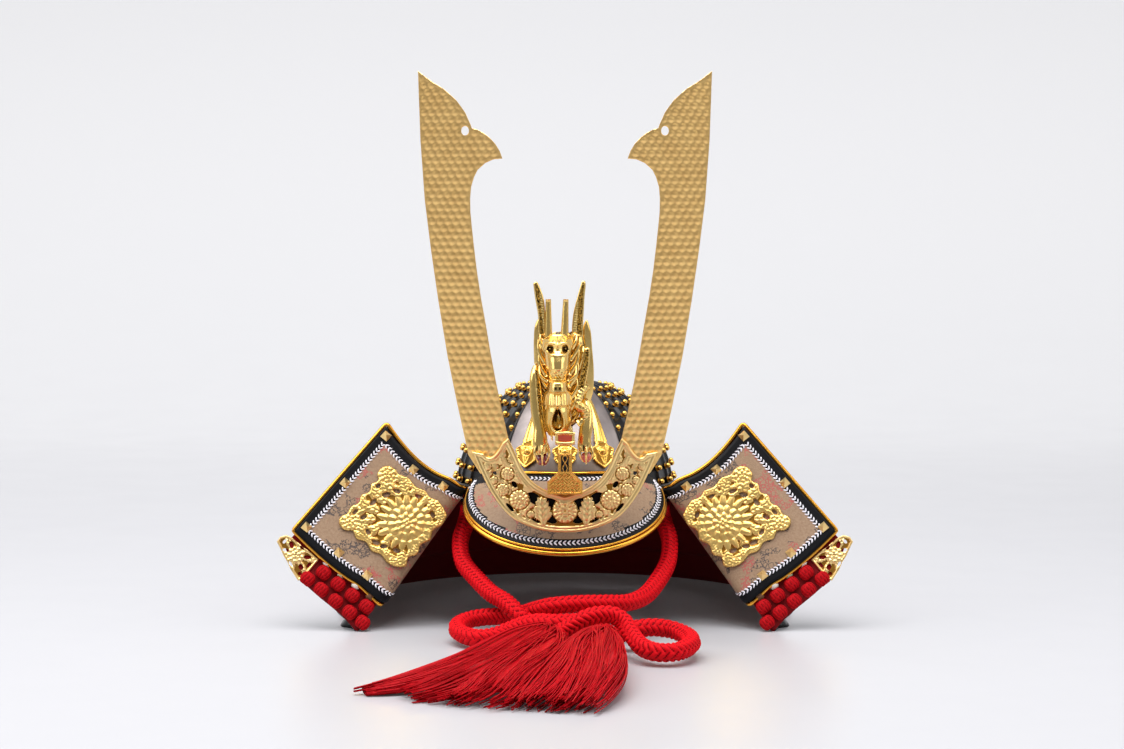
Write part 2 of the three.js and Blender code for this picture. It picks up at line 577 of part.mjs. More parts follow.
// ---- Crest socket, dragon and gems ----
function crestSocket() {
  const boss = [[0, 73.2], [8.8, 73.2], [8.8, 79.4], [4.6, 83.4], [3.4, 84.4], [3.4, 93.4], [0, 93.4]];
  const whole = toShape([...boss, ...boss.slice(1, -1).reverse().map(([x, z]) => [-x, z])]);
  const front = upright(whole, 2.4, -101.3, 0);
  const tang = new THREE.BoxGeometry(9, 3.2, 12).translate(0, -95.6, 74.5);
  const neck = new THREE.BoxGeometry(7, 9.4, 5).translate(0, -98.8, 80);
  return toGeometry(fuse([front, tang, neck]));
}
add('crest_socket', crestSocket(), deepGold);

const egg = (x, y, z, width, depth, height, cuts = 5) => new THREE.SphereGeometry(1, cuts + 2, cuts)
  .rotateX(Math.PI / 2).scale(width, depth, height).translate(x, y, z);

function dragon() {
  const pieces = [
    egg(0, -108, 133, 9.5, 10, 20),
    egg(0, -116, 140, 6.4, 9, 9),
    egg(0, -118, 149, 7, 6, 5.5),
    egg(0, -121, 128.5, 6.2, 7, 7.5),
    egg(0, -120, 117, 6, 6, 10),
    egg(8.5, -106, 133, 6, 7, 17),
    egg(-8.5, -106, 138, 6, 7, 15),
    new THREE.BoxGeometry(7.6, 9, 10).translate(0, -117, 106.6),
    lock([[0, -108, 122, 6, 6], [0, -106, 106, 4.5, 4.5], [0, -103, 94, 3.3, 3]], 6),
  ];
  const limbs = [
    [[-12, -104, 139, 4, 3], [-15.4, -110, 133, 2.6, 4], [-13.8, -112, 120, 3.2, 4], [-12, -110, 108, 4, 3.6],
      [-11.4, -109.5, 99, 4.2, 3.4], [-11, -109, 94.6, 3, 2.6]],
    [[10, -106, 132, 4.4, 4], [12.6, -110, 120, 4.6, 4.4], [11.4, -110.5, 108, 4, 3.6],
      [10.6, -110, 99.6, 4.3, 3.4], [10.4, -109.5, 95, 3, 2.6]],
    [[-6.4, -106, 146, 2.6, 3.4], [-9.4, -104, 158, 1.9, 3.6], [-11.4, -102, 171, 1.4, 2.6],
      [-13.4, -101, 179, 0.6, 0.7]],
    [[6.4, -106, 146, 2.6, 3.4], [8.6, -104, 158, 2.4, 3.6], [10.4, -102, 171, 1.8, 2.8],
      [11.6, -101, 180, 0.7, 0.8]],
    [[-4.6, -109, 150, 2.1, 2.1], [-5.2, -106, 170.5, 1.1, 1.1]],
    [[4.6, -109, 150, 2.1, 2.1], [4.6, -106, 170.5, 1.1, 1.1]],
    [[13, -103, 118, 2, 5], [14.5, -101, 140, 2.4, 6], [13, -100, 159, 1, 2.4]],
    [[-12, -102, 142, 2, 5], [-13.4, -100.5, 152, 2, 5], [-11.6, -100, 160, 1, 2.4]],
  ];
  for (const rows of limbs) pieces.push(lock(rows, 6));
  for (const [x, base] of [[-11, 95], [10.4, 95.4]]) {
    for (const [dx, dy] of [[-3, -0.5], [0, -3.2], [3, -0.5]]) {
      pieces.push(lock([[x + dx * 0.7, -109.5 + dy * 0.6, base + 2, 1.3, 1.3],
        [x + dx * 1.25, -109.5 + dy * 1.3, base - 3.4, 1, 1], [x + dx, -109.5 + dy, base - 7.4, 0.45, 0.45]], 4));
    }
  }
  const gems = [[-11, 89.6], [10.4, 90]].map(([x, z]) => toSolid(egg(x, -109.2, z, 3.1, 2.9, 3.1, 6)));
  const tongue = toSolid(new THREE.BoxGeometry(8.8, 6.6, 5.6).translate(0, -119.6, 103.4));
  const socket = toSolid(new THREE.BoxGeometry(7.6, 3.6, 10.6).translate(0, -101.8, 88.4));
  const body = fuse(pieces);
  return toGeometry([...gems, tongue, socket].reduce((sum, next) => sum.subtract(next), body));
}
add('dragon', dragon(), brightGold);
add('dragon_tongue', new THREE.BoxGeometry(8, 5.8, 4.8).translate(0, -119.7, 103.3), coral);
add('dragon_gem_left', egg(-11, -109.2, 89.6, 2.8, 2.6, 2.8, 6), garnet);
add('dragon_gem_right', egg(10.4, -109.2, 90, 2.8, 2.6, 2.8, 6), garnet);

// ---- Chin cord and tassels ----
// One cord, Ø 8.6. Its hidden stretch runs round inside the waist band, and each end falls to the knot.
const cordExit = { angle: 90, z: 55.2 };
const cordRadiusX = BOWL.halfWidth + BAND.proud - BAND.wall - CORD.radius - GAP;
const cordRadiusY = BOWL.halfDepth + BAND.proud - BAND.wall - CORD.radius - GAP;
const innerCord = (angle) => point(cordRadiusX * Math.sin(radians(angle)), -cordRadiusY * Math.cos(radians(angle)),
  cordExit.z);

const cordLeft = [[-51.6, -14, 55], [-51.4, -28, 53.4], [-52.4, -40, 49], [-54.4, -52, 42], [-52.4, -66, 33.8], [-45, -82, 27.4],
  [-37, -97, 22.2], [-30.5, -107, 20], [-25.4, -114.4, 16.8], [-19.6, -119, 12], [-11.5, -121, 7.4],
  [-2, -122, 4.9], [8, -124, 4.7], [18, -129, 5.3], [26, -135, 8], [34, -139.5, 11.3], [43, -139.2, 12.2],
  [52, -138.8, 11], [58.6, -145.5, 9.4], [61, -157, 8.2], [58, -169, 7.3], [51, -177.5, 6.8], [43, -177.2, 6.9],
  [36.6, -171, 8.3], [32.2, -162, 12.4], [28.4, -154.8, 17.4], [23.4, -153, 20.3], [17, -153.5, 20.8],
  [11, -154.5, 19.6], [4.8, -155.4, 16.6], [-1.4, -157, 13.2], [-8, -161.2, 11]];
const cordRight = [[51.6, -14, 55], [51.4, -28, 53.6], [52.4, -40, 49.6], [54.4, -52, 43], [53.2, -66, 34.4], [47.6, -83, 27],
  [40, -100, 21.4], [31, -112.5, 20], [20, -119.4, 20.8], [7, -122, 21], [-6, -120, 19.6], [-14, -112, 16.4],
  [-22, -103, 12.6], [-31, -98.4, 10.9], [-41, -98.4, 10.4], [-49.4, -103, 9.4], [-53.6, -112.6, 7.8],
  [-51, -124, 6.3], [-43, -132, 5.6], [-35, -131.4, 6.4], [-28, -129, 8.6], [-20.6, -130, 11.6],
  [-14, -133, 13.6], [-5.6, -136.6, 14], [7.9, -136, 14], [16, -140.5, 12.6], [21.6, -148.4, 9.9],
  [21.4, -158.4, 8.6], [18.4, -168, 9], [17.2, -172.4, 9.4]];

function cordEnd(rows, side) {
  const exit = innerCord(side * cordExit.angle);
  exit.y -= 0.4;
  return [exit, ...rows.map((row) => point(...row))];
}
const cordBack = steps(cordExit.angle + 0.8, 359.2 - cordExit.angle, 14).map(innerCord);
add('chin_cord_left', bar(cordEnd(cordLeft, -1), CORD.radius, CORD.sides, 30), redSilk);
add('chin_cord_right', bar(cordEnd(cordRight, 1), CORD.radius, CORD.sides, 28), redSilk);
add('chin_cord_back', bar(cordBack, CORD.radius, CORD.sides, 12), redSilk);

// Locks of a tassel: each runs from the head to its cut end on the table.
// Columns of a row: x, y, z, half width, half thickness.
const tasselLeft = [
  [[-10, -169, 11, 6, 6], [-22, -190, 14, 10, 7], [-46, -222, 9, 10, 6], [-76, -243, 4, 7, 3.4],
    [-92, -249, 2, 3, 1.6]],
  [[-9, -169, 11, 7, 7], [-16, -198, 13, 12, 8], [-38, -238, 8, 14, 6.5], [-66, -262, 3.4, 12, 3]],
  [[-8, -169, 10, 6, 6], [-10, -202, 11, 11, 8], [-26, -248, 7.6, 15, 6.5], [-42, -281, 3.4, 16, 3]],
];
const tasselRight = [
  [[15.5, -180, 10.4, 6, 6], [9, -206, 12, 12, 8.5], [0, -248, 8.4, 15, 7], [-14, -288, 3.4, 15, 3]],
  [[16, -180, 10.4, 7, 7], [17, -210, 12.4, 11.5, 8.8], [14, -252, 8.6, 13, 7.4], [4, -292, 3.4, 11, 3]],
];

function tassel(heads, locks, side) {
  const [x, y, z, radius] = heads;
  const seam = { x: 3, y: -165, normal: [0.973, -0.2316, 0] };
  const offset = seam.normal[0] * seam.x + seam.normal[1] * seam.y;
  const body = fuse([egg(x, y, z, radius, radius, radius * 0.98, 6), ...locks.map((rows) => lock(rows, 8))]);
  const cut = side > 0 ? body.trimByPlane(seam.normal, offset + GAP / 2)
    : body.trimByPlane(seam.normal.map((value) => -value), -offset + GAP / 2);
  return toGeometry(cut.trimByPlane([0, 0, 1], 0));
}
add('tassel_left', tassel([-9.5, -173.4, 10.4, 9.6], tasselLeft, -1), redSilk);
add('tassel_right', tassel([16, -182.6, 10.4, 9.8], tasselRight, 1), redSilk);

// The row's origin is under the middle of the helmet itself, without its cord and tassels.
const looseNames = /chin_cord|tassel/;
const bounds = new THREE.Box3();
part.children.filter(({ name }) => !looseNames.test(name)).forEach((mesh) => bounds.expandByObject(mesh));
const middle = bounds.getCenter(point());
part.children.forEach((mesh) => mesh.position.set(-middle.x, -middle.y, -bounds.min.z));

export default part;
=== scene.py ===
"""Kabuto, a samurai helmet for display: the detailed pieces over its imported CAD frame.

Pieces are drawn in millimetres from the bowl's axis, with z = 0 on the table and -Y to the front,
and are moved to the frame's own place, in metres, as they are made.
"""
import math
import random

import bpy
import numpy as np
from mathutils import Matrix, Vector


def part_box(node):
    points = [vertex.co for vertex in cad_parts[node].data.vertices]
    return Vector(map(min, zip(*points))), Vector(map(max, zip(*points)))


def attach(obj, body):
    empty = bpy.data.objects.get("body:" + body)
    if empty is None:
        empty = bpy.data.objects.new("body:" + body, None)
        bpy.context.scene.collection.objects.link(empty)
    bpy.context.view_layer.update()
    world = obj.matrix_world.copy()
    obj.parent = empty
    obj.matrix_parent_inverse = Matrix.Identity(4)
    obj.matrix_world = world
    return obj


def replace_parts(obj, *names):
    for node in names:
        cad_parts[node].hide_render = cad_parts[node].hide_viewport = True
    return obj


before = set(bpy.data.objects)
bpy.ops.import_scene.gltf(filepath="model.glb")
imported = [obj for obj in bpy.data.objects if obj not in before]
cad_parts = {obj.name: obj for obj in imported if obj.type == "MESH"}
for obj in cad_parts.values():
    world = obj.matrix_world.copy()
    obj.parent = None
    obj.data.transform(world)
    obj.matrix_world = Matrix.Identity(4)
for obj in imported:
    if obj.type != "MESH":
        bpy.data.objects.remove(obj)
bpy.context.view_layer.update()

# --------------------
# Camera, table and light. A pale glossy table under large soft lamps, seen from a little above
# the helmet's middle and a touch to its left.
# --------------------
MM = 0.001
band_low, band_high = (Vector(corner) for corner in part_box("waist_band"))
bowl_axis = Vector(((band_low.x + band_high.x) / 2, (band_low.y + band_high.y) / 2, 0))


def place(x, y, z):
    """A point given in millimetres from the bowl's axis, in the frame's metres."""
    return Vector((x * MM, y * MM, z * MM)) + bowl_axis


camera_data = bpy.data.cameras.new("camera")
camera = bpy.data.objects.new("camera", camera_data)
bpy.context.collection.objects.link(camera)
CAMERA_AWAY, CAMERA_HIGH, CAMERA_DOWN = 1440, 235, 4.349
camera.location = place(-1.5, -CAMERA_AWAY, CAMERA_HIGH)
camera.rotation_euler = (math.radians(90 - CAMERA_DOWN), 0, 0)
camera_data.sensor_width = 36
camera_data.lens = 86.15
bpy.context.scene.camera = camera


def linear(hex_colour):
    """A colour written as #rrggbb in sRGB, as the linear values that shaders take."""
    parts = [int(hex_colour[i:i + 2], 16) / 255 for i in (1, 3, 5)]
    return tuple(c / 12.92 if c <= 0.04045 else ((c + 0.055) / 1.055) ** 2.4 for c in parts) + (1.0,)


def output_of(source):
    """A socket as it is, or a node's first output in use."""
    if isinstance(source, bpy.types.Node):
        return next(socket for socket in source.outputs if socket.enabled)
    return source


def add_node(material, kind, inputs=None, **settings):
    """Add a shader node with its settings, and set its inputs or link nodes or sockets to them."""
    made = material.node_tree.nodes.new(kind)
    for name, value in settings.items():
        setattr(made, name, value)
    for name, value in (inputs or {}).items():
        socket = made.inputs[name]
        if isinstance(value, (bpy.types.Node, bpy.types.NodeSocket)):
            material.node_tree.links.new(output_of(value), socket)
        else:
            socket.default_value = value
    return made


def new_material(name, **inputs):
    """A material with one principled shader, and that shader."""
    made = bpy.data.materials.new(name)
    made.use_nodes = True
    made.node_tree.nodes.clear()
    keys = {key.replace("_", " ").title().replace("Ior", "IOR"): value for key, value in inputs.items()}
    shader = add_node(made, "ShaderNodeBsdfPrincipled", keys)
    add_node(made, "ShaderNodeOutputMaterial", {"Surface": shader.outputs["BSDF"]})
    return made, shader


def link(source, shader, name):
    shader.id_data.links.new(output_of(source), shader.inputs[name])


def in_mm(material, scale=(1, 1, 1)):
    """Object coordinates in millimetres, times a scale."""
    where = add_node(material, "ShaderNodeTexCoord")
    return add_node(material, "ShaderNodeMapping", {"Vector": where.outputs["Object"],
                    "Scale": [value / MM for value in scale]}).outputs["Vector"]


table_material, table_shader = new_material("table", base_color=linear("#B7B7BB"), roughness=0.3)
table_grain = add_node(table_material, "ShaderNodeTexNoise", {"Vector": in_mm(table_material), "Scale": 0.02})
link(add_node(table_material, "ShaderNodeMapRange",
     {"Value": table_grain, "To Min": 0.28, "To Max": 0.36}),
     table_shader, "Roughness")
# Painted light: the table glows, faintly near the helmet and more and more towards the back and up the sweep.
table_spot = add_node(table_material, "ShaderNodeSeparateXYZ", {"Vector": in_mm(table_material)})
backdrop_glow = add_node(table_material, "ShaderNodeMapRange", {"Value": table_spot.outputs["Y"],
                     "From Min": 150.0, "From Max": 1900.0, "To Min": 0.02, "To Max": 0.46},
                     interpolation_type="SMOOTHSTEP")
table_shader.inputs["Emission Color"].default_value = linear("#FFFFFF")
link(backdrop_glow, table_shader, "Emission Strength")

SWEEP_START, SWEEP_RADIUS, SWEEP_WIDTH = 900, 1500, 7000
sweep_profile = [(-3500, 0)]
for turn in np.linspace(0, math.pi / 2, 25):
    sweep_profile.append((SWEEP_START + SWEEP_RADIUS * math.sin(turn), SWEEP_RADIUS * (1 - math.cos(turn))))
sweep_profile.append((SWEEP_START + SWEEP_RADIUS, 6000))
sweep_mesh = bpy.data.meshes.new("table")
sweep_mesh.from_pydata([place(x, y, z) for y, z in sweep_profile for x in (-SWEEP_WIDTH, SWEEP_WIDTH)], [],
                       [(2 * k, 2 * k + 1, 2 * k + 3, 2 * k + 2) for k in range(len(sweep_profile) - 1)])
sweep_mesh.materials.append(table_material)
sweep_mesh.shade_smooth()
sweep = bpy.data.objects.new("table", sweep_mesh)
bpy.context.collection.objects.link(sweep)

bpy.context.scene.view_settings.view_transform = "Standard"
world = bpy.data.worlds.new("studio")
bpy.context.scene.world = world
world.use_nodes = True
sky = world.node_tree.nodes.new("ShaderNodeTexCoord")
sky_parts = world.node_tree.nodes.new("ShaderNodeSeparateXYZ")
sky_ramp = world.node_tree.nodes.new("ShaderNodeMapRange")
sky_ramp.interpolation_type = "SMOOTHSTEP"
for name, value in (("From Min", -0.5), ("From Max", 0.75), ("To Min", 0.3), ("To Max", 0.82)):
    sky_ramp.inputs[name].default_value = value
world.node_tree.links.new(sky.outputs["Generated"], sky_parts.inputs["Vector"])
world.node_tree.links.new(sky_parts.outputs["Y"], sky_ramp.inputs["Value"])
world.node_tree.links.new(sky_ramp.outputs["Result"], world.node_tree.nodes["Background"].inputs["Strength"])
world.node_tree.nodes["Background"].inputs["Color"].default_value = linear("#FBFBFD")


def soft_lamp(name, where, towards, size, power):
    lamp = bpy.data.lights.new(name, "AREA")
    lamp.shape = "RECTANGLE"
    lamp.size, lamp.size_y = (value * MM for value in size)
    lamp.energy = power
    made = bpy.data.objects.new(name, lamp)
    bpy.context.collection.objects.link(made)
    made.location = place(*where)
    made.visible_camera = False
    made.rotation_euler = (place(*towards) - made.location).to_track_quat("-Z", "Y").to_euler()


soft_lamp("lamp_top", (-150, -380, 1350), (0, 0, 60), (1500, 1000), 28)
soft_lamp("lamp_left", (-1500, -500, 1100), (0, -20, 110), (1400, 1400), 13)
soft_lamp("lamp_right", (1500, -500, 1100), (0, -20, 110), (1400, 1400), 10)

# --------------------
# Chin cord. A round silk braid of six columns of strands, 8.6 mm thick. Its middle is held inside
# the helmet, both ends hang out in front, and they are tied in a flat bow on the table.
# --------------------
CORD_RADIUS = 4.3


def mesh_piece(name, points, faces, material, slot, replaces=()):
    """A mesh piece from points in millimetres, riding on the helmet."""
    mesh = bpy.data.meshes.new(name)
    points = np.asarray(points, dtype=float) * MM + np.array(bowl_axis)
    mesh.from_pydata(points.tolist(), [], [list(map(int, face)) for face in faces])
    mesh.materials.append(material)
    mesh.shade_smooth()
    made = bpy.data.objects.new(name, mesh)
    bpy.context.collection.objects.link(made)
    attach(made, "root")
    if replaces:
        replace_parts(made, *replaces)
    return made


def second_material(piece, flagged, material):
    """Give the flagged faces of a piece another material."""
    piece.data.materials.append(material)
    piece.data.polygons.foreach_set("material_index", np.asarray(flagged).astype(np.int32))


def grid_faces(across, along, ring_across=False, ring_along=False, start=0):
    """Quads of a grid whose point (i, j) is at start + i * along + j."""
    faces = []
    for i in range(across if ring_across else across - 1):
        for j in range(along if ring_along else along - 1):
            a, b = (i + 1) % across, (j + 1) % along
            here, there = start + i * along, start + a * along
            faces.append((here + j, there + j, there + b, here + b))
    return faces


def run_along(line):
    """How far along a line each of its points is."""
    return np.concatenate([[0], np.cumsum(np.linalg.norm(np.diff(line, axis=0), axis=1))])


ROUTE_STEPS = 24


def smooth_route(rows, spacing):
    """Evenly spaced points along the smooth curve through the rows (centripetal Catmull-Rom)."""
    rows = [np.array(row, dtype=float) for row in rows]
    rows = [2 * rows[0] - rows[1]] + rows + [2 * rows[-1] - rows[-2]]
    dense = []
    for a, b, c, d in zip(rows, rows[1:], rows[2:], rows[3:]):
        t0 = 0.0
        t1 = t0 + np.linalg.norm(b - a) ** 0.5
        t2 = t1 + np.linalg.norm(c - b) ** 0.5
        t3 = t2 + np.linalg.norm(d - c) ** 0.5
        for t in np.linspace(t1, t2, ROUTE_STEPS, endpoint=False):
            p = (t1 - t) / (t1 - t0) * a + (t - t0) / (t1 - t0) * b
            q = (t2 - t) / (t2 - t1) * b + (t - t1) / (t2 - t1) * c
            r = (t3 - t) / (t3 - t2) * c + (t - t2) / (t3 - t2) * d
            u = (t2 - t) / (t2 - t0) * p + (t - t0) / (t2 - t0) * q
            v = (t3 - t) / (t3 - t1) * q + (t - t1) / (t3 - t1) * r
            dense.append((t2 - t) / (t2 - t1) * u + (t - t1) / (t2 - t1) * v)
    dense = np.array(dense + [rows[-2]])
    run = run_along(dense[:, :3])
    places = np.linspace(0, run[-1], max(2, int(round(run[-1] / spacing)) + 1))
    return np.stack([np.interp(places, run, column) for column in dense.T], axis=1)


def carried_frames(route, start_up=(0, 0, 1)):
    """Two unit vectors square to the route at each point, carried along it without twisting."""
    along = np.gradient(route, axis=0)
    along /= np.linalg.norm(along, axis=1)[:, None]
    side = np.cross(along[0], start_up)
    sides = []
    for direction in along:
        side = side - direction * side.dot(direction)
        side = side / np.linalg.norm(side)
        sides.append(side)
    sides = np.array(sides)
    return sides, np.cross(along, sides)


def tube_points(route, radius, around, start_up=(0, 0, 1)):
    """Points of a tube. radius is a number or a function of the place along it and the angle."""
    sides, ups = carried_frames(route, start_up)
    run = run_along(route)
    angles = np.linspace(0, 2 * math.pi, around, endpoint=False)
    if callable(radius):
        radii = radius(run[:, None], angles[None, :])
    else:
        radii = np.full((len(route), around), float(radius))
    rings = (route[:, None, :] + radii[..., None] * (np.cos(angles)[None, :, None] * sides[:, None, :]
             + np.sin(angles)[None, :, None] * ups[:, None, :]))
    return rings.reshape(-1, 3)


def tube_faces(rings, around):
    faces = [(a, d, c, b) for a, b, c, d in grid_faces(rings, around, ring_along=True)]
    return faces + [tuple(range(around)), tuple(reversed(range((rings - 1) * around, rings * around)))]


def tube(route, radius, around):
    """Points and faces of a closed tube."""
    return tube_points(route, radius, around), tube_faces(len(route), around)


BRAID_COLUMNS, BRAID_PITCH, BRAID_DEPTH = 6, 3.0, 1.4


def braid(run, angle):
    """Radius of a round braid: columns of slanting strands, leaning in turn to the left and right."""
    turn = (angle * BRAID_COLUMNS / (2 * math.pi)) % BRAID_COLUMNS
    column = np.floor(turn)
    local = turn - column - 0.5
    lean = np.where(column % 2 < 1, 1.0, -1.0)
    stitch = (run / BRAID_PITCH + lean * local * 0.85 + 0.25 * lean) % 1 - 0.5
    ridge = np.sqrt(np.clip(1 - (2 * stitch) ** 2, 0, 1)) * (1 - 1.4 * local ** 2)
    return CORD_RADIUS + 0.35 - BRAID_DEPTH + BRAID_DEPTH * ridge


def silk(name, colour, scale, detail, shades=None, roughness=0.7, bump=0.0, depth=0.3):
    """Spun silk, dull and soft: a grain of fine strands, and two shades of dye where they show."""
    made, shader = new_material(name, base_color=linear(colour), roughness=roughness, specular_ior_level=0.12)
    strands = add_node(made, "ShaderNodeTexNoise", {"Vector": in_mm(made), "Scale": scale, "Detail": detail})
    if shades:
        link(add_node(made, "ShaderNodeMix", {"Factor": strands, "A": linear(shades[0]),
             "B": linear(shades[1])}, data_type="RGBA"), shader, "Base Color")
    if bump:
        link(add_node(made, "ShaderNodeBump", {"Height": strands, "Strength": bump,
             "Distance": depth * MM}), shader, "Normal")
    return made


red_braid = silk("red_braid", "#C80208", 2.6, 3.0, shades=("#B80210", "#E20616"), bump=0.25, depth=0.2)
# Painted shade: a darker red for the grooves between the strands of the braid and of the red knots.
groove_shade_red = new_material("groove_shade_red", base_color=linear("#7C0008"), roughness=0.8, specular_ior_level=0.1)[0]

# The routes are the CAD's, point by point.
CORD_EXIT_HEIGHT = 55.2
left_end = [(-51.6, -14, 55), (-51.4, -28, 53.4), (-52.4, -40, 49), (-54.4, -52, 42), (-52.4, -66, 33.8),
            (-45, -82, 27.4), (-37, -97, 22.2), (-30.5, -107, 20), (-25.4, -114.4, 16.8), (-19.6, -119, 12),
            (-11.5, -121, 7.4), (-2, -122, 4.9), (8, -124, 4.7), (18, -129, 5.3), (26, -135, 8),
            (34, -139.5, 11.3), (43, -139.2, 12.2), (52, -138.8, 11), (58.6, -145.5, 9.4), (61, -157, 8.2),
            (58, -169, 7.3), (51, -177.5, 6.8), (43, -177.2, 6.9), (36.6, -171, 8.3), (32.2, -162, 12.4),
            (28.4, -154.8, 17.4), (23.4, -153, 20.3), (17, -153.5, 20.8), (11, -154.5, 19.6),
            (4.8, -155.4, 16.6), (-1.4, -157, 13.2), (-8, -161.2, 11)]
right_end = [(51.6, -14, 55), (51.4, -28, 53.6), (52.4, -40, 49.6), (54.4, -52, 43), (53.2, -66, 34.4),
             (47.6, -83, 27), (40, -100, 21.4), (31, -112.5, 20), (20, -119.4, 20.8), (7, -122, 21),
             (-6, -120, 19.6), (-14, -112, 16.4), (-22, -103, 12.6), (-31, -98.4, 10.9), (-41, -98.4, 10.4),
             (-49.4, -103, 9.4), (-53.6, -112.6, 7.8), (-51, -124, 6.3), (-43, -132, 5.6),
             (-35, -131.4, 6.4), (-28, -129, 8.6), (-20.6, -130, 11.6), (-14, -133, 13.6),
             (-5.6, -136.6, 14), (7.9, -136, 14), (16, -140.5, 12.6), (21.6, -148.4, 9.9),
             (21.4, -158.4, 8.6), (18.4, -168, 9), (17.2, -172.4, 9.4)]


def braided_cord(name, rows, spacing=0.5, around=32):
    """A braided cord along a route, with the grooves between its strands in a darker red as painted shade."""
    route = smooth_route(rows, spacing)
    piece = mesh_piece(name, *tube(route, braid, around), red_braid,
                       slot="red_silk", replaces=[name.replace("_braid", "")])
    run = (np.arange(len(route) - 1) + 0.5) * spacing
    angle = (np.arange(around) + 0.5) * 2 * math.pi / around
    # Painted shade: faces sunk below the strands' tops take the darker red.
    shaded_grooves = braid(*np.meshgrid(run, angle, indexing="ij")) < CORD_RADIUS - 0.3
    second_material(piece, np.append(shaded_grooves.ravel(), [False, False]), groove_shade_red)
    return piece, route


def inner_loop(degrees):
    turn = math.radians(degrees)
    return (51.99 * math.sin(turn), -56.39 * math.cos(turn), CORD_EXIT_HEIGHT)


cords = {}
for name, side, rows in (("left", -1, left_end), ("right", 1, right_end)):
    exit_point = (side * 52, -0.4, CORD_EXIT_HEIGHT)
    cords[name] = braided_cord(f"chin_cord_{name}_braid", [exit_point] + rows)
back_loop = [inner_loop(degrees) for degrees in np.linspace(90.8, 269.2, 15)]
cords["back"] = braided_cord("chin_cord_back_braid", back_loop, spacing=1.6, around=24)

# --------------------
# Tassels. Several hundred loose silk threads are bound over the end of each cord, swell over the
# knot under them and lie across the table towards the left, with their ends cut raggedly.
# --------------------
red_thread = silk("red_thread", "#C80208", 0.55, 4.0, shades=("#9C0410", "#CE0818"), roughness=0.5)
THREAD_RADIUS, THREADS_A_LOCK, CLUMPS_A_LOCK = 0.36, 186, 34
tassels = {
    "left": {"cord": (-8, -161.2, 11), "head": (-9.5, -173.4, 10.4), "radius": 9.6, "locks": [
        [(-22, -190, 14, 10, 7), (-46, -222, 9, 10, 6), (-76, -243, 4, 7, 3.4), (-94, -250, 2, 3.4, 1.8)],
        [(-16, -198, 13, 12, 8), (-38, -238, 8, 14, 6.5), (-60, -257, 4, 13, 3.4), (-70, -264, 3, 11, 2.8)],
        [(-10, -202, 11, 11, 8), (-26, -248, 7.6, 15, 6.5), (-36, -271, 4, 16, 3.6),
         (-43, -283, 3.2, 15.5, 2.9)]]},
    "right": {"cord": (17.2, -172.4, 9.4), "head": (16, -182.6, 10.4), "radius": 9.8, "locks": [
        [(9, -206, 12, 12, 8.5), (0, -248, 8.4, 15, 7), (-9, -274, 4.6, 15.5, 4),
         (-15, -290, 3.2, 14.5, 2.9)],
        [(17, -210, 12.4, 11.5, 8.8), (14, -252, 8.6, 13, 7.4), (8, -278, 4.8, 12, 4.4),
         (3, -292, 3.2, 11, 3)]]},
}


def ellipse_ring(centre, side, up, wide, thick, around):
    angles = np.linspace(0, 2 * math.pi, around, endpoint=False)
    return centre + wide * np.cos(angles)[:, None] * side + thick * np.sin(angles)[:, None] * up


def join_parts(parts):
    """One list of points and one of faces from several pairs of both."""
    points, faces, start = [], [], 0
    for some_points, some_faces in parts:
        points.append(np.asarray(some_points, dtype=float))
        faces += [tuple(index + start for index in face) for face in some_faces]
        start += len(some_points)
    return np.concatenate(points), faces


def tassel(name, cord, head, radius, locks):
    rng = np.random.default_rng(len(locks) + 40)
    cord, head = np.array(cord, dtype=float), np.array(head, dtype=float)
    axis = (head - cord) / np.linalg.norm(head - cord)
    across = np.cross(axis, (0, 0, 1))
    across /= np.linalg.norm(across)
    lift = np.cross(across, axis)
    parts, threads = [], []
    for lock in locks:
        rows = [tuple(cord) + (3.6, 3.6), tuple(head - axis * 2) + (radius, radius)] + lock
        core = smooth_route(rows, 4)
        core = core[:int(len(core) * 0.84)]
        for row in core:
            row[2] = max(row[2], row[4] * 0.8 + 0.3)
        sides, ups = carried_frames(core[:, :3])
        closing = np.sqrt(np.clip((len(core) - 0.5 - np.arange(len(core))) / 3.5, 0, 1))
        rings = [ellipse_ring(row[:3], side, up, row[3] * 0.86 * close, row[4] * 0.8 * close, 16)
                 for row, side, up, close in zip(core, sides, ups, closing)]
        shape = np.concatenate(rings)
        shape[:, 2] = np.maximum(shape[:, 2], 0.35)
        parts.append((shape, tube_faces(len(core), 16)))
        route = smooth_route(rows, 4.2)
        sides, ups = carried_frames(route[:, :3])
        clumps = rng.uniform(0, 2 * math.pi, CLUMPS_A_LOCK)
        for count in range(THREADS_A_LOCK):
            clump = clumps[count % CLUMPS_A_LOCK]
            angle = clump + rng.normal(0, 0.13)
            buried = count % 3 == 2
            reach = rng.uniform(0.15, 0.85) if buried else 1 - abs(rng.normal(0, 0.07))
            last = len(route) - int(abs(rng.normal(0, 1.6)) + 2.0 * abs(math.sin(clump * 3)))
            wander = rng.normal(0, 0.06)
            thread = []
            for index in range(int(len(route) * 0.62) if buried else 0, last):
                row, along = route[index], index / len(route)
                turn = angle + wander * along * 4 + 0.1 * math.sin(along * 9 + clump * 5)
                flare = reach + 0.05 * along * math.sin(clump * 7)
                spot = (row[:3] + row[3] * flare * math.cos(turn) * sides[index]
                        + row[4] * flare * math.sin(turn) * ups[index])
                spot[2] = max(spot[2], THREAD_RADIUS + 0.1 * (count % 5))
                thread.append(spot)
            threads.append(np.array(thread))
    parts += [tube(thread, THREAD_RADIUS, 3) for thread in threads]
    for step in (-1.2, 0.2, 1.6):
        centre = cord + axis * step
        turns = ellipse_ring(centre, across, lift, 4.9, 4.9, 40)
        parts.append((tube_points(np.vstack([turns, centre + across * 4.9]), 0.8, 8), tube_faces(41, 8)))
    return mesh_piece(f"tassel_{name}_threads", *join_parts(parts), red_thread, slot="red_silk",
                      replaces=[f"tassel_{name}"])


for name, values in tassels.items():
    tassel_piece = tassel(name, **values)
    piece, route = cords[name]

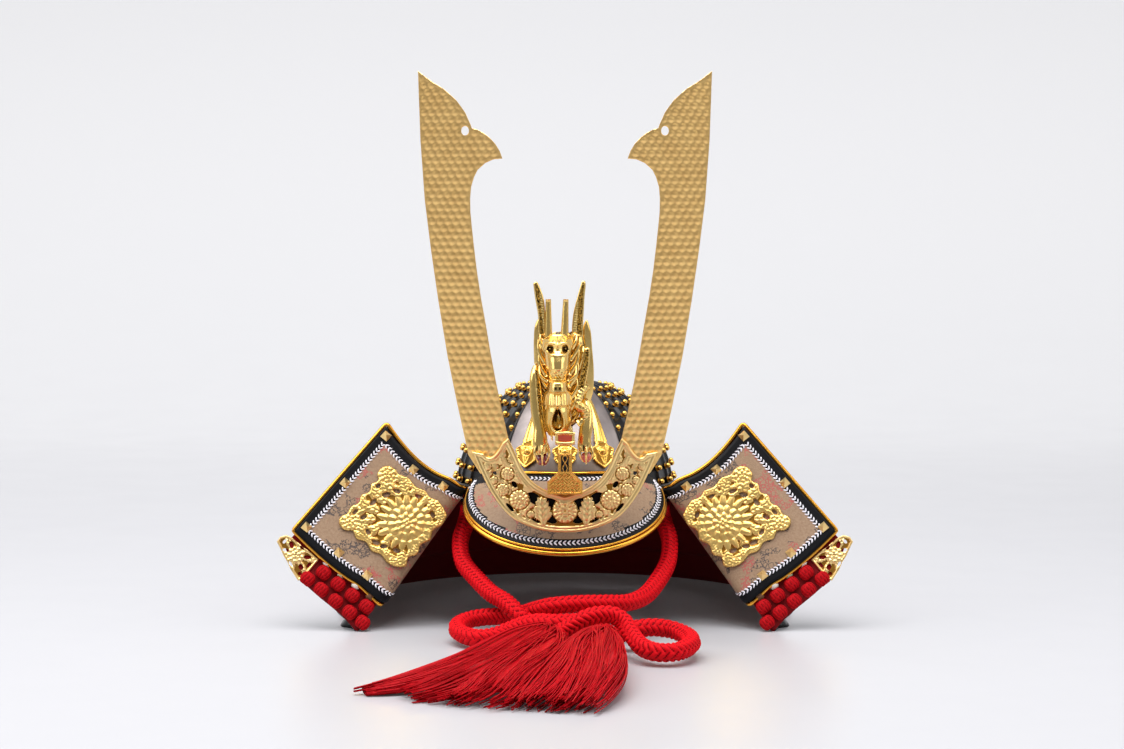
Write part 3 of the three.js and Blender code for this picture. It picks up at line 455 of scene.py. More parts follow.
# --------------------
# Horns. Two flat blades of satin gilt sheet, 1.2 mm thick, pressed all over with small hexagons,
# cut at the tip to the shape of a sickle with a heart-like hole. They slide into the horn base.
# --------------------


def gold(name, colour, roughness, tarnish="#8A5A1E", grain=0.0, grain_size=0.5):
    """Gilt metal: a colour with faint darker patches, and a fine grain where it is cast or stamped."""
    made, shader = new_material(name, base_color=linear(colour), metallic=1.0, roughness=roughness)
    patches = add_node(made, "ShaderNodeTexNoise", {"Vector": in_mm(made), "Scale": 0.14, "Detail": 5.0})
    spread = add_node(made, "ShaderNodeMapRange", {"Value": patches, "From Min": 0.35,
                      "From Max": 0.8, "To Min": 0.0, "To Max": 0.4})
    link(add_node(made, "ShaderNodeMix", {"Factor": spread, "A": linear(colour),
         "B": linear(tarnish)}, data_type="RGBA"), shader, "Base Color")
    if grain:
        bumps = add_node(made, "ShaderNodeTexNoise", {"Vector": in_mm(made), "Scale": 1 / grain_size,
                         "Detail": 3.0})
        link(add_node(made, "ShaderNodeBump", {"Height": bumps, "Strength": grain,
             "Distance": 0.25 * MM}), shader, "Normal")
    return made


satin_gold = gold("satin_gold", "#FFD488", 0.33, tarnish="#D6A45C", grain=0.08, grain_size=0.4)
bright_gold = gold("bright_gold", "#F4C766", 0.2, tarnish="#D09535")
deep_gold = gold("deep_gold", "#E8A940", 0.2, tarnish="#C07C22")
pale_gold = gold("pale_gold", "#F6D592", 0.3, tarnish="#DDB068", grain=0.05, grain_size=0.7)
# Painted shade for the grooves between the horns' hexagons.
horn_groove_shade = gold("horn_groove_shade", "#B98A48", 0.4, tarnish="#946A30")
# A darker gold for the rivet washers, and painted shade on the low ground of pressed reliefs.
dark_gold_and_recess_shade = gold("dark_gold_and_recess_shade", "#9A6E2C", 0.42, tarnish="#5E3E12")


def inside(polygon, x, z):
    """Distance to the polygon's edge, positive inside it."""
    polygon = np.asarray(polygon, dtype=float)
    nearest = np.full(x.shape, np.inf)
    odd = np.zeros(x.shape, dtype=bool)
    for (ax, az), (bx, bz) in zip(polygon, np.roll(polygon, -1, axis=0)):
        dx, dz = bx - ax, bz - az
        t = np.clip(((x - ax) * dx + (z - az) * dz) / max(dx * dx + dz * dz, 1e-12), 0, 1)
        nearest = np.minimum(nearest, np.hypot(x - ax - t * dx, z - az - t * dz))
        if dz:
            odd ^= ((az > z) != (bz > z)) & (x < dx * (z - az) / dz + ax)
    return np.where(odd, nearest, -nearest)


BLOCK = 6  # the rear is drawn in squares of this many cells


def relief(edge, height, low, high, step, at, back):
    """Points and faces of a pressed plate. edge(x, z) is positive on the plate, height(x, z, edge) is its
    front's relief in mm, and at(x, z, h) places a point h above the plate's plane; the back is at h = -back.
    The height of every face of the front comes with them, and infinity for the others."""
    x, z = np.meshgrid(np.arange(low[0] - step, high[0] + 2 * step, step),
                       np.arange(low[1] - step, high[1] + 2 * step, step), indexing="ij")
    e = edge(x, z)
    slope_x, slope_z = np.gradient(e, step)
    size = np.maximum(slope_x ** 2 + slope_z ** 2, 0.25)
    shift = np.where(e < 0, np.clip(-e, 0, 1.5 * step), 0) / size
    kept = (e[:-1, :-1] > 0) | (e[1:, :-1] > 0) | (e[:-1, 1:] > 0) | (e[1:, 1:] > 0)
    x, z = x + shift * slope_x, z + shift * slope_z
    rows, columns = np.nonzero(kept)
    along = x.shape[1]
    corners = np.stack([rows * along + columns, (rows + 1) * along + columns,
                        (rows + 1) * along + columns + 1, rows * along + columns + 1], axis=1)
    used = np.unique(corners)
    number = np.full(x.size, -1)
    number[used] = np.arange(len(used))
    quads = number[corners]
    px, pz = x.ravel()[used], z.ravel()[used]
    lifts = height(px, pz, np.maximum(edge(px, pz), 0))
    front = at(px, pz, lifts)
    rear = at(px, pz, np.full(px.shape, -float(back)))
    edges = np.concatenate([quads[:, [k, (k + 1) % 4]] for k in range(4)])
    keys = edges[:, 0] * len(used) + edges[:, 1]
    open_edges = edges[~np.isin(keys, edges[:, 1] * len(used) + edges[:, 0])]
    rear_faces, merged = [], np.zeros(kept.shape, dtype=bool)
    blocks = kept[:kept.shape[0] // BLOCK * BLOCK, :kept.shape[1] // BLOCK * BLOCK]
    blocks = blocks.reshape(blocks.shape[0] // BLOCK, BLOCK, -1, BLOCK).all(axis=(1, 3))
    for i, j in np.argwhere(blocks) * BLOCK:
        merged[i:i + BLOCK, j:j + BLOCK] = True
        loop = [(i + s, j) for s in range(BLOCK)] + [(i + BLOCK, j + s) for s in range(BLOCK)]
        loop += [(i + BLOCK - s, j + BLOCK) for s in range(BLOCK)]
        loop += [(i, j + BLOCK - s) for s in range(BLOCK)]
        rear_faces.append([number[row * along + column] for row, column in loop][::-1])
    rear_faces += quads[~merged[rows, columns]][:, ::-1].tolist()
    rear_used = np.unique(np.concatenate([np.array(face) for face in rear_faces]))
    renumbered = np.full(len(used), -1)
    renumbered[rear_used] = np.arange(len(rear_used)) + len(used)
    faces = [tuple(quad) for quad in quads] + [tuple(renumbered[face]) for face in rear_faces]
    faces += [(b, a, renumbered[a], renumbered[b]) for a, b in open_edges]
    heights = np.full(len(faces), np.inf)
    heights[:len(quads)] = lifts[quads].mean(axis=1)
    return np.concatenate([front, rear[rear_used]]), faces, heights


def pressed(name, made, metal, slot, limit, dark, replaces=(), flip=False):
    """A piece from a relief, with what lies lower than a limit in a second, darker metal: painted shade in
    its recesses.
    """
    points, faces, heights = made
    faces = [face[::-1] for face in faces] if flip else faces
    piece = mesh_piece(name, points, faces, metal, slot=slot, replaces=replaces)
    second_material(piece, heights < limit, dark)


def hexagons(x, z, pitch):
    """How far a point is from the middle of its hexagon, 0 in the middle and 1 at the edge."""
    row = pitch * math.sqrt(3)
    nearest = np.full(np.shape(x), np.inf)
    for shift_x, shift_z in ((0, 0), (pitch / 2, row / 2)):
        u = (x - shift_x + pitch / 2) % pitch - pitch / 2
        v = (z - shift_z + row / 2) % row - row / 2
        reach = np.maximum(np.abs(u), np.abs(u) * 0.5 + np.abs(v) * math.sqrt(3) / 2) / (pitch / 2)
        nearest = np.minimum(nearest, reach)
    return nearest


HORN = [(48.6, 92), (54, 117), (59, 142), (63.5, 170), (67, 195), (70, 220), (72, 250), (73, 284),
        (68.7, 280.6), (64.5, 277.7), (60.6, 275.4), (57, 272.3), (54, 269.6), (51.5, 266.3), (49.4, 263.2),
        (48, 260), (46.9, 257.6), (46.2, 255.6), (43.6, 255), (40.6, 253.4), (37.4, 251), (34.6, 248),
        (32.4, 244.4), (31, 240.6), (35.5, 240.2), (39.6, 238.4), (43.4, 235), (45.2, 231.5), (46.7, 226.5),
        (47.2, 221), (47.1, 214), (46.5, 207.5), (45.4, 197), (44, 185), (42, 171.5), (39.5, 157.4),
        (37.3, 144), (34.7, 129.7), (31.8, 115.6), (28.7, 101.9), (25, 86), (42.5, 82.5)]
LEAN, LEAN_FROM, BASE_BEND = 0.045, 60, 400  # the horns and their base lean forward, and the base bends back


def horn(name, side, strength):
    def edge(x, z):
        hole = np.hypot((side * x - 49.6) / 1.9, (z - 254.4) / 2.3) * 2.0 - 2.0
        return np.minimum(inside(HORN, side * x, z), hole)

    def height(x, z, e):
        reach = hexagons(x, z, 3.9)
        facets = np.clip(1.06 - reach, 0, 0.82)
        border = np.clip((e - 0.7) / 0.6, 0, 1)
        return strength * facets * border + 0.18 * (1 - border)

    def at(x, z, h):
        y = -97.3 + 37 * (2 * np.abs(x) - 37) / BASE_BEND - LEAN * (z - LEAN_FROM)
        return np.stack([x, y - h, z], axis=1)

    low, high = ((25, 82), (73, 284)) if side > 0 else ((-73, 82), (-25, 284))
    # Painted shade: the grooves between the hexagons in a darker gold.
    pressed(name, relief(edge, height, low, high, 0.54, at, 1.2), satin_gold, "satin_gold", 0.1 * strength,
            horn_groove_shade, replaces=[name.replace("_pressed", "")])


horn("horn_left_pressed", -1, 0.6)
horn("horn_right_pressed", 1, 0.75)

# --------------------
# Horn base. A crescent of pale gilt casting that carries the horns: smooth double rims, and between
# them chrysanthemums, toothed leaves and small curling foliage, pierced near the bottom.
# --------------------


def petal_ring(x, z, centre, count, distance, long, wide, lift, high, turn, raised):
    """Lay one ring of rounded petals over a relief, each one a smooth dome that points outwards."""
    for number in range(count):
        angle = 2 * math.pi * number / count + turn
        u = (x - centre[0]) * math.cos(angle) + (z - centre[1]) * math.sin(angle) - distance
        v = -(x - centre[0]) * math.sin(angle) + (z - centre[1]) * math.cos(angle)
        dome = 1 - (2 * u / long) ** 2 - (2 * v / wide) ** 2
        ribs = 0.92 + 0.08 * np.cos(15 * v / wide) if wide > 2.5 else 1.0
        domed = lift + high * ribs * np.sqrt(np.maximum(dome, 0))
        raised = np.where(dome > 0, np.maximum(raised, domed), raised)
    return raised


def blossom(x, z, centre, radius, petals, raised, lift=0.0):
    """Lay a chrysanthemum over a relief: two rings of petals inside a ring, and a button with a dimple."""
    reach = np.hypot(x - centre[0], z - centre[1]) / radius
    high = 0.35 + 0.09 * radius
    raised = np.where(reach < 1.0, lift + 0.1, raised)
    wide = 4.6 * radius / petals
    raised = petal_ring(x, z, centre, petals, 0.74 * radius, 0.56 * radius, wide, lift + 0.15, high, 0.0,
                        raised)
    raised = np.where(reach < 0.52, lift + 0.2, raised)
    raised = petal_ring(x, z, centre, max(petals // 2, 5), 0.36 * radius, 0.36 * radius, wide, lift + 0.35,
                        high, 0.3, raised)
    button = lift + 0.5 + 1.1 * high * np.sqrt(np.clip(1 - (reach / 0.26) ** 2, 0, 1))
    button = button - (1.1 * high + 0.6) * np.exp(-(reach / 0.1) ** 2)
    return np.where(reach < 0.26, button, raised)


def leaf(x, z, root_x, root_z, degrees, length, width, teeth=5):
    """Relief of a toothed leaf that grows from a root in one direction, with a midrib and veins."""
    turn = math.radians(degrees)
    u = ((x - root_x) * math.cos(turn) + (z - root_z) * math.sin(turn)) / length
    v = -(x - root_x) * math.sin(turn) + (z - root_z) * math.cos(turn)
    spread = np.sqrt(np.clip(np.sin(math.pi * np.clip(u, 0, 1) ** 0.8), 0, 1))
    half = width / 2 * spread * (0.82 + 0.18 * np.abs(np.sin(teeth * math.pi * u)))
    inner = np.clip(1 - np.abs(v) / np.maximum(half, 0.05), 0, 1)
    veins = 0.13 * np.cos(2 * math.pi * (teeth * u - np.abs(v) / width * 2.2))
    groove = 0.35 * np.exp(-(v / 0.35) ** 2)
    return np.where((u > 0) & (u < 1) & (inner > 0), 0.3 + inner ** 0.4 * (0.7 + veins) - groove, 0)


def curve_side(rows, spacing=1.5):
    return smooth_route([(x, z, 0) for x, z in rows], spacing)[:, :2].tolist()


base_outer = curve_side([(0, 53.3), (9, 54), (18, 56.4), (26, 60.3), (32, 66), (37.5, 74), (42.6, 84.4),
                         (46.8, 94)])
base_inner = curve_side([(28.5, 101), (24.5, 92.6), (21, 85), (15.4, 78.4), (8.5, 74.4), (0, 71.6)])
base_cusp = [(41, 93), (39.4, 91.4), (38, 91), (36.4, 91.6), (34.6, 93.4), (33, 95.6), (31.4, 98.6)]
base_right = base_outer + base_cusp + base_inner
base_outline = base_right + [(-x, z) for x, z in base_right[-2:0:-1]]
base_openings = [(7.2, 67.8, 3.8, 3.0, 24), (15.4, 70.6, 4.2, 2.6, 38), (7.0, 60.2, 3.4, 2.2, 20),
                 (15.4, 61.2, 4.4, 1.9, 34), (35.6, 84.4, 1.1, 2.4, -22), (27.6, 66.0, 3.0, 0.9, 48),
                 (25.4, 77.6, 1.2, 1.9, -30)]
base_blossoms = [(0, 64.4, 6.1, 16), (23, 69.8, 4.9, 14), (31.3, 74.8, 3.1, 10), (28.8, 83, 3.3, 10),
                 (35.6, 79.6, 1.9, 8), (26.8, 90.5, 2.1, 8), (38.9, 86.6, 2.0, 8), (17.2, 62.6, 1.8, 8)]
base_acanthus = [(10.6, 57.2, 86, 14.4, 4.4), (10.7, 59.4, 38, 6.6, 3.0), (10.7, 59.4, 134, 5.8, 3.0),
                 (10.8, 62.2, 44, 6.2, 3.0), (10.8, 62.2, 128, 5.4, 2.8), (11.0, 65, 50, 5.4, 2.8),
                 (11.0, 65, 122, 4.8, 2.6), (11.2, 67.6, 56, 4.2, 2.4), (11.2, 67.6, 116, 3.8, 2.2)]
base_leaves = [(18.4, 63.4, 62, 6.5, 3.4), (27.4, 63.6, 130, 6.4, 3.2), (28.6, 65.6, 70, 6.6, 3.0),
               (18, 76.4, 50, 6.2, 3.0), (22.4, 79.4, 64, 9.4, 3.4), (33.6, 77.8, 78, 9.0, 3.2),
               (25.4, 84.5, 84, 8.0, 3.0), (30.6, 87.6, 72, 7.5, 3.0), (36.4, 84, 60, 6.6, 3.0)]


def ellipse_gap(x, z, centre_x, centre_z, half_wide, half_high, degrees):
    """Roughly the distance outside an ellipse, negative inside it."""
    turn = math.radians(degrees)
    u = ((x - centre_x) * math.cos(turn) + (z - centre_z) * math.sin(turn)) / half_wide
    v = (-(x - centre_x) * math.sin(turn) + (z - centre_z) * math.cos(turn)) / half_high
    return (np.hypot(u, v) - 1) * min(half_wide, half_high)


# Painted shade: a near-black sheet behind the openings of the horn base.
base_shade_sheet = new_material("base_shade_sheet", base_color=linear("#0A0808"), roughness=0.7,
                            specular_ior_level=0.1)[0]
base_rng = random.Random(11)
base_curls = [(base_rng.uniform(14, 44), base_rng.uniform(56, 99), base_rng.uniform(0.9, 1.7),
               base_rng.uniform(0, 360)) for _ in range(260)]


def base_edge(x, z):
    x = np.abs(x)
    edge = inside(base_outline, x, z)
    kept = np.zeros(x.shape, dtype=bool)
    for values in base_acanthus:
        kept |= leaf(x, z, *values) > 0.35
    for centre_x, centre_z, radius, petals in base_blossoms:
        kept |= np.hypot(x - centre_x, z - centre_z) < radius + 0.3
    for opening in base_openings:
        edge = np.where(kept, edge, np.minimum(edge, ellipse_gap(x, z, *opening)))
    return edge


def rim_line(distance, middle, half):
    return np.sqrt(np.clip(1 - ((distance - middle) / half) ** 2, 0, 1))


def base_height(x, z, e):
    x = np.abs(x)
    border = inside(base_outline, x, z)
    raised = np.zeros_like(x)
    for curl_x, curl_z, size, turn in base_curls:
        reach = np.hypot(x - curl_x, z - curl_z) / size
        curl = 0.3 + 0.42 * np.sqrt(np.clip(1 - reach ** 2, 0, 1)) * (0.75 + 0.25 * np.sin(reach * 7 + turn))
        raised = np.maximum(raised, np.where(reach < 1, curl, 0))
    for values in base_leaves:
        raised = np.maximum(raised, 1.1 * leaf(x, z, *values))
    for number, values in enumerate(base_acanthus):
        high = 1.3 if number == 0 else 0.85 + 0.1 * (number % 2)
        raised = np.maximum(raised, high * leaf(x, z, *values))
    for centre_x, centre_z, radius, petals in base_blossoms:
        raised = np.where(np.hypot(x - centre_x, z - centre_z) < radius + 0.5, 0, raised)
        raised = blossom(x, z, (centre_x, centre_z), radius, petals, raised, 0.2)
    raised = np.where(border > 3.0, raised, 0)
    raised = np.maximum(raised, 1.0 * rim_line(border, 0.9, 0.95))
    return np.maximum(raised, 0.75 * rim_line(border, 2.45, 0.7))


def base_at(x, z, h):
    return np.stack([x, -99.6 + x ** 2 / BASE_BEND - LEAN * (z - LEAN_FROM) - h + 0.35, z], axis=1)


# Painted shade: the low ground between the rims, leaves and flowers in a darker gold.
pressed("horn_base_casting", relief(base_edge, base_height, (-47.4, 53), (47.4, 101.4), 0.325, base_at, 1.3),
        pale_gold, "satin_gold", 0.25, dark_gold_and_recess_shade, replaces=["horn_base"])


# Painted shade: a dark sheet behind the lower, pierced part of the horn base, standing in for the shade seen
# through its openings.
def shade_sheet_edge(x, z):
    return np.minimum(inside(base_outline, x, z) - 2.2, 79 - z)


shade_sheet = relief(shade_sheet_edge, lambda x, z, e: np.full_like(x, -1.45), (-42, 54), (42, 79), 1.2, base_at, 1.8)
mesh_piece("horn_base_shade_sheet", *shade_sheet[:2], base_shade_sheet, slot="black_lacquer")

# --------------------
# Bowl. Black lacquered iron plates that meet in narrow raised ribs, 12 degrees apart round the
# back and sides, each with a row of round gilt rivets on ring washers. A gilt crown ring on top.
# --------------------
black_lacquer, lacquer_shader = new_material("black_lacquer", base_color=linear("#040407"), roughness=0.3,
                                             specular_ior_level=0.28)
lacquer_wave = add_node(black_lacquer, "ShaderNodeTexNoise", {"Vector": in_mm(black_lacquer), "Scale": 0.09,
                        "Detail": 3.0})
link(add_node(black_lacquer, "ShaderNodeMapRange", {"Value": lacquer_wave,
     "To Min": 0.18, "To Max": 0.36}), lacquer_shader, "Roughness")


BOWL_HALF_WIDE, BOWL_HALF_DEEP, BOWL_FOOT = 57.6, 62, 62
RIB_STEP, FIRST_RIB = 12, 36  # degrees


def on_bowl(angle, elevation, lift):
    """Points above the bowl's skin: angle from the front towards +X, and elevation, in degrees."""
    turn, rise = np.radians(angle), np.radians(elevation)
    return np.stack([(BOWL_HALF_WIDE + lift) * np.cos(rise) * np.sin(turn),
                     -(BOWL_HALF_DEEP + lift) * np.cos(rise) * np.cos(turn),
                     BOWL_FOOT + (BOWL_HALF_DEEP + lift) * np.sin(rise)], axis=-1)


def bowl_lift(angle, elevation):
    """Ribs rise 1 mm, and the plates between them sag a little."""
    turned = (angle % 360 - FIRST_RIB) % RIB_STEP
    near = np.minimum(turned, RIB_STEP - turned) * np.cos(np.radians(elevation))
    has_rib = (angle % 360 > 34.5) & (angle % 360 < 325.5)
    fade = np.clip((80 - elevation) / 18, 0, 1)
    rib = np.sqrt(np.clip(1 - (near / 1.15) ** 2, 0, 1)) * has_rib
    return fade * (rib - 0.35 * np.sin(np.pi * turned / RIB_STEP) * has_rib * (1 - rib))


rib_steps = np.array([-6, -3, -1.5, -1.1, -0.6, 0, 0.6, 1.1, 1.5, 3])
rib_angles = [FIRST_RIB + RIB_STEP * k + rib_steps for k in range(25)]
bowl_angles = np.sort(np.concatenate(rib_angles + [np.arange(-28, 28, 4)]) % 360)
bowl_rises = np.linspace(7, 82.4, 27)
ring_angles, ring_rises = np.meshgrid(bowl_angles, bowl_rises, indexing="ij")
outer_skin = on_bowl(ring_angles, ring_rises, bowl_lift(ring_angles, ring_rises)).reshape(-1, 3)
inner_skin = on_bowl(ring_angles, ring_rises, np.full(ring_angles.shape, -1.6)).reshape(-1, 3)
many, high = ring_angles.shape
outer_faces = grid_faces(many, high, ring_across=True)
inner_faces = [face[::-1] for face in grid_faces(many, high, ring_across=True, start=many * high)]
edge_faces = [(i * high + k, many * high + i * high + k, many * high + (i + 1) % many * high + k,
               (i + 1) % many * high + k) for i in range(many) for k in (0, high - 1)]
mesh_piece("bowl_plates", np.concatenate([outer_skin, inner_skin]), outer_faces + inner_faces + edge_faces,
           black_lacquer, slot="black_lacquer", replaces=["bowl"])


def revolve(profile, around, wave=None):
    """Points and faces of a turned shape about the Z axis from rows of radius and height."""
    angles = np.linspace(0, 2 * math.pi, around, endpoint=False)
    points = []
    for angle in angles:
        for index, (radius, rise) in enumerate(profile):
            grown = radius * (wave(angle, index) if wave else 1)
            points.append((grown * math.cos(angle), grown * math.sin(angle), rise))
    return np.array(points), grid_faces(around, len(profile), ring_across=True)


def aim(normal, spin_from=(0, 0, 1)):
    """A turn whose third axis is the normal."""
    normal = np.asarray(normal, dtype=float) / np.linalg.norm(normal)
    side = np.cross(spin_from, normal)
    side = side / np.linalg.norm(side) if np.linalg.norm(side) > 1e-6 else np.array([1.0, 0, 0])
    return np.stack([side, np.cross(normal, side), normal], axis=1)


def copies(points, faces, spots):
    """The same shape at many places, each given as a point and a turn."""
    return join_parts([(points @ turn.T + spot, faces) for spot, turn in spots])


ball_profile = [(1.42 * math.cos(a), 1.2 + 1.42 * math.sin(a)) for a in np.radians(range(-50, 91, 20))]
washer_profile = [(0.4, -0.5), (1.75, -0.5), (1.9, -0.1), (1.7, 0.1), (0.4, 0.1), (0.4, -0.5)]
rivet_spots = []
for rib_angle in np.arange(FIRST_RIB, 325, RIB_STEP):
    for rise in (8.5, 15, 22.5, 30, 37.5, 45, 52, 58.5, 64.5):
        if rise < 17 and min(rib_angle, 360 - rib_angle) < 56:
            continue
        foot = on_bowl(np.array(rib_angle), np.array(rise), 0.85)
        out = on_bowl(np.array(rib_angle), np.array(rise), 10.0) - foot
        size = 1.0 if rise < 58 else 0.86
        rivet_spots.append((foot, aim(out) * size))
for name, profile, metal in (("bowl_rivets", ball_profile, bright_gold),
                             ("bowl_washers", washer_profile, dark_gold_and_recess_shade)):
    rivet_points, rivet_faces = revolve(profile, 12)
    mesh_piece(name, *copies(rivet_points, rivet_faces, rivet_spots), metal, slot="bright_gold")


def petal_wave(angle, index):
    return 1 + (0.09 if index in (1, 2, 3) else 0.0) * (abs(math.cos(angle * 8)) ** 0.6 - 0.6)


crown_profile = [(5.0, 0.0), (10.4, 0.0), (10.5, 0.7), (8.8, 1.9), (7.1, 2.2), (6.9, 2.7), (7.0, 3.6),
                 (6.5, 4.2), (5.4, 4.2), (5.0, 3.6), (5.0, 0.0)]
crown_points, crown_faces = revolve(crown_profile, 96, petal_wave)
mesh_piece("crown_ring_petals", crown_points + np.array([0, 0, 124.3]), crown_faces, bright_gold,
           slot="bright_gold", replaces=["crown_ring"])

# --------------------
# Front plate and strips. A satin silvered plate covers the front of the bowl, and three slender
# gilt strips run down it from the crown, each ending in a beaded arrow with a round rivet.
# --------------------
silver_plate, silver_shader = new_material("silver_plate", base_color=linear("#8F8583"), metallic=0.85,
                                           roughness=0.4)
silver_patches = add_node(silver_plate, "ShaderNodeTexNoise", {"Vector": in_mm(silver_plate, (1, 1, 0.3)),
                          "Scale": 0.12, "Detail": 6.0})
link(add_node(silver_plate, "ShaderNodeMix", {"Factor": silver_patches,
     "A": linear("#5C5456"), "B": linear("#A79D99")}, data_type="RGBA"),
     silver_shader, "Base Color")


def sheet_points(at, across, along, front, back):
    """Points and faces of a sheet between two lifts; at(u, v, lift) takes arrays."""
    u, v = np.meshgrid(across, along, indexing="ij")
    faces_front = grid_faces(len(across), len(along))
    count, high = u.size, len(along)
    faces = faces_front + [tuple(index + count for index in face[::-1]) for face in faces_front]
    border = [i * high for i in range(len(across))] + [(len(across) - 1) * high + j for j in range(1, high)]
    border += [i * high + high - 1 for i in range(len(across) - 2, -1, -1)] + list(range(high - 2, 0, -1))
    faces += [(b, a, a + count, b + count) for a, b in zip(border, border[1:] + border[:1])]
    points = np.concatenate([at(u, v, front).reshape(-1, 3), at(u, v, back).reshape(-1, 3)])
    return points, faces


points, faces = sheet_points(lambda u, v, lift: on_bowl(u, v, lift), np.linspace(-34.2, 34.2, 46),
                             np.linspace(9, 79, 40), 1.6, 0.8)
mesh_piece("front_plate_silver", points, faces, silver_plate, slot="silver_plate", replaces=["front_plate"])
edge_tubes = []
for side in (-1, 1):
    route = on_bowl(np.full(40, side * 34.2), np.linspace(9, 79, 40), 1.5)
    edge_tubes.append((tube_points(route, 0.55, 8), tube_faces(40, 8)))
points, faces = join_parts(edge_tubes)
mesh_piece("front_plate_edges", points, faces, black_lacquer, slot="black_lacquer")

strip_low, strip_high = 17.5, 77.0
strip_length = math.radians(strip_high - strip_low) * 63
strip_half = np.array([(0, 0.3), (0.045, 4.2), (0.07, 5.6), (0.1, 5.2), (0.13, 6.5), (0.155, 6.3),
                       (0.18, 3.6), (0.2, 2.9), (0.22, 3.4), (0.25, 2.9), (0.36, 2.2), (0.52, 1.6),
                       (0.68, 1.3), (0.84, 1.2), (1, 1.1)])


def strip_height(x, z, e):
    along = z / strip_length
    arrow = along < 0.205
    beads = np.abs(np.sin(math.pi * (z + np.abs(x)) / 1.5))
    border = rim_line(e, 0.75, 0.75) * (0.35 + 0.65 * beads * arrow)
    scroll = 0.3 * rim_line(np.abs(np.abs(x) - 0.35 * (z - 3)), 0.6, 0.5) * np.clip(e - 1.2, 0, 1)
    boss = np.sqrt(np.clip(1 - (np.hypot(x, z - 0.13 * strip_length) / 1.9) ** 2, 0, 1)) * 1.8
    ring = rim_line(np.hypot(x, z - 0.13 * strip_length), 2.6, 0.45) * 0.45
    half = np.maximum(np.interp(along, strip_half[:, 0], strip_half[:, 1]) * 0.5, 0.4)
    rib = 0.6 * np.sqrt(np.clip(1 - (x / half) ** 2, 0, 1))
    arrow_relief = np.maximum.reduce([0.55 * border, scroll, boss, ring])
    return np.where(arrow, arrow_relief, np.maximum(0.45 * border, rib))


def front_strip(name, angle):
    def edge(x, z):
        along = z / strip_length
        half = np.interp(along, strip_half[:, 0], strip_half[:, 1])
        half = half + 0.18 * np.abs(np.sin(z * 2.4)) * (along < 0.2)
        return np.minimum(half - np.abs(x), np.minimum(z, strip_length - z) + 0.2)

    def at(x, z, h):
        rise = strip_low + z / strip_length * (strip_high - strip_low)
        turn = angle + np.degrees(x / (59.9 * np.cos(np.radians(rise))))
        return on_bowl(turn, rise, h + 2.9)

    made = relief(edge, strip_height, (-7, 0), (7, strip_length), 0.34, at, 0.5)
    # Painted shade: the lowest ground of the strip in a darker gold.
    pressed(name + "_gilt", made, bright_gold, "bright_gold", 0.06, dark_gold_and_recess_shade, replaces=[name])


for name, angle in (("front_strip_left", -21), ("front_strip_centre", 0), ("front_strip_right", 21)):
    front_strip(name, angle)

# --------------------
# Waist band. A lacquered band round the bowl's foot with thin raised lines and gilt ring rivets.
# --------------------
band_profile = [(0.0, 60.0), (0.35, 60.0), (0.35, 61.2), (0.0, 61.4), (0.0, 68.2), (0.35, 68.4), (0.35, 69.6),
                (0.0, 69.6), (-2.0, 69.6), (-2.0, 60.0), (0.0, 60.0)]
band_angles = np.linspace(0, 2 * math.pi, 160, endpoint=False)
band_points = np.array([((58.5 + grow) * math.sin(a), -(62.9 + grow) * math.cos(a), z)
                        for a in band_angles for grow, z in band_profile])
band_faces = grid_faces(160, len(band_profile), ring_across=True)
mesh_piece("waist_band_lacquer", band_points, band_faces, black_lacquer, slot="black_lacquer",
           replaces=["waist_band"])
ring_profile = [(1.0, -0.3), (2.1, -0.3), (2.1, 0.35), (1.75, 0.7), (1.3, 0.6), (1.1, 0.3), (0.7, 0.45),
                (0.0, 0.6)]
ring_points, ring_faces = revolve(ring_profile, 18)
band_spots = []
for degrees in list(range(66, 180, 19)) + list(range(180, 295, 19)):
    turn = math.radians(degrees)
    spot = np.array([58.7 * math.sin(turn), -63.1 * math.cos(turn), 64.8])
    band_spots.append((spot, aim((math.sin(turn) / 58.7, -math.cos(turn) / 63.1, 0))))
points, faces = copies(ring_points, ring_faces, band_spots)
mesh_piece("waist_band_rivets", points, faces, deep_gold, slot="deep_gold")

# --------------------
# Peak. Printed leather glued over the brow plate, with a black lacquered border, a white and navy
# chevron braid along it, and a round gilt rim. A flat gilt bar closes its top behind the crest.
# --------------------
leather, leather_shader = new_material("leather", base_color=linear("#B29C8C"), roughness=0.62)
pore_noise = add_node(leather, "ShaderNodeTexVoronoi", {"Vector": in_mm(leather), "Scale": 1.6})
grain_noise = add_node(leather, "ShaderNodeTexNoise", {"Vector": in_mm(leather), "Scale": 0.9, "Detail": 6.0})
spot_cells = add_node(leather, "ShaderNodeTexVoronoi", {"Vector": in_mm(leather), "Scale": 0.8})
spot_dots = add_node(leather, "ShaderNodeMapRange", {"Value": spot_cells, "From Min": 0.3,
                     "From Max": 0.38, "To Min": 1.0, "To Max": 0.0})
spray_noise = add_node(leather, "ShaderNodeTexNoise", {"Vector": in_mm(leather), "Scale": 0.13,
                       "Detail": 1.0})
spray = add_node(leather, "ShaderNodeMapRange", {"Value": spray_noise, "From Min": 0.51,
                 "From Max": 0.53, "To Min": 0.0, "To Max": 0.85})
stem_cells = add_node(leather, "ShaderNodeTexVoronoi", {"Vector": in_mm(leather), "Scale": 0.42},
                      feature="DISTANCE_TO_EDGE")
stems = add_node(leather, "ShaderNodeMapRange", {"Value": stem_cells, "From Min": 0.05,
                 "From Max": 0.09, "To Min": 0.9, "To Max": 0.0})
marks = add_node(leather, "ShaderNodeMath", {0: spot_dots, 1: stems},
                 operation="MAXIMUM")
inked = add_node(leather, "ShaderNodeMath", {0: marks, 1: spray},
                 operation="MULTIPLY")
tint_noise = add_node(leather, "ShaderNodeTexNoise", {"Vector": in_mm(leather), "Scale": 0.05, "Detail": 0.0})
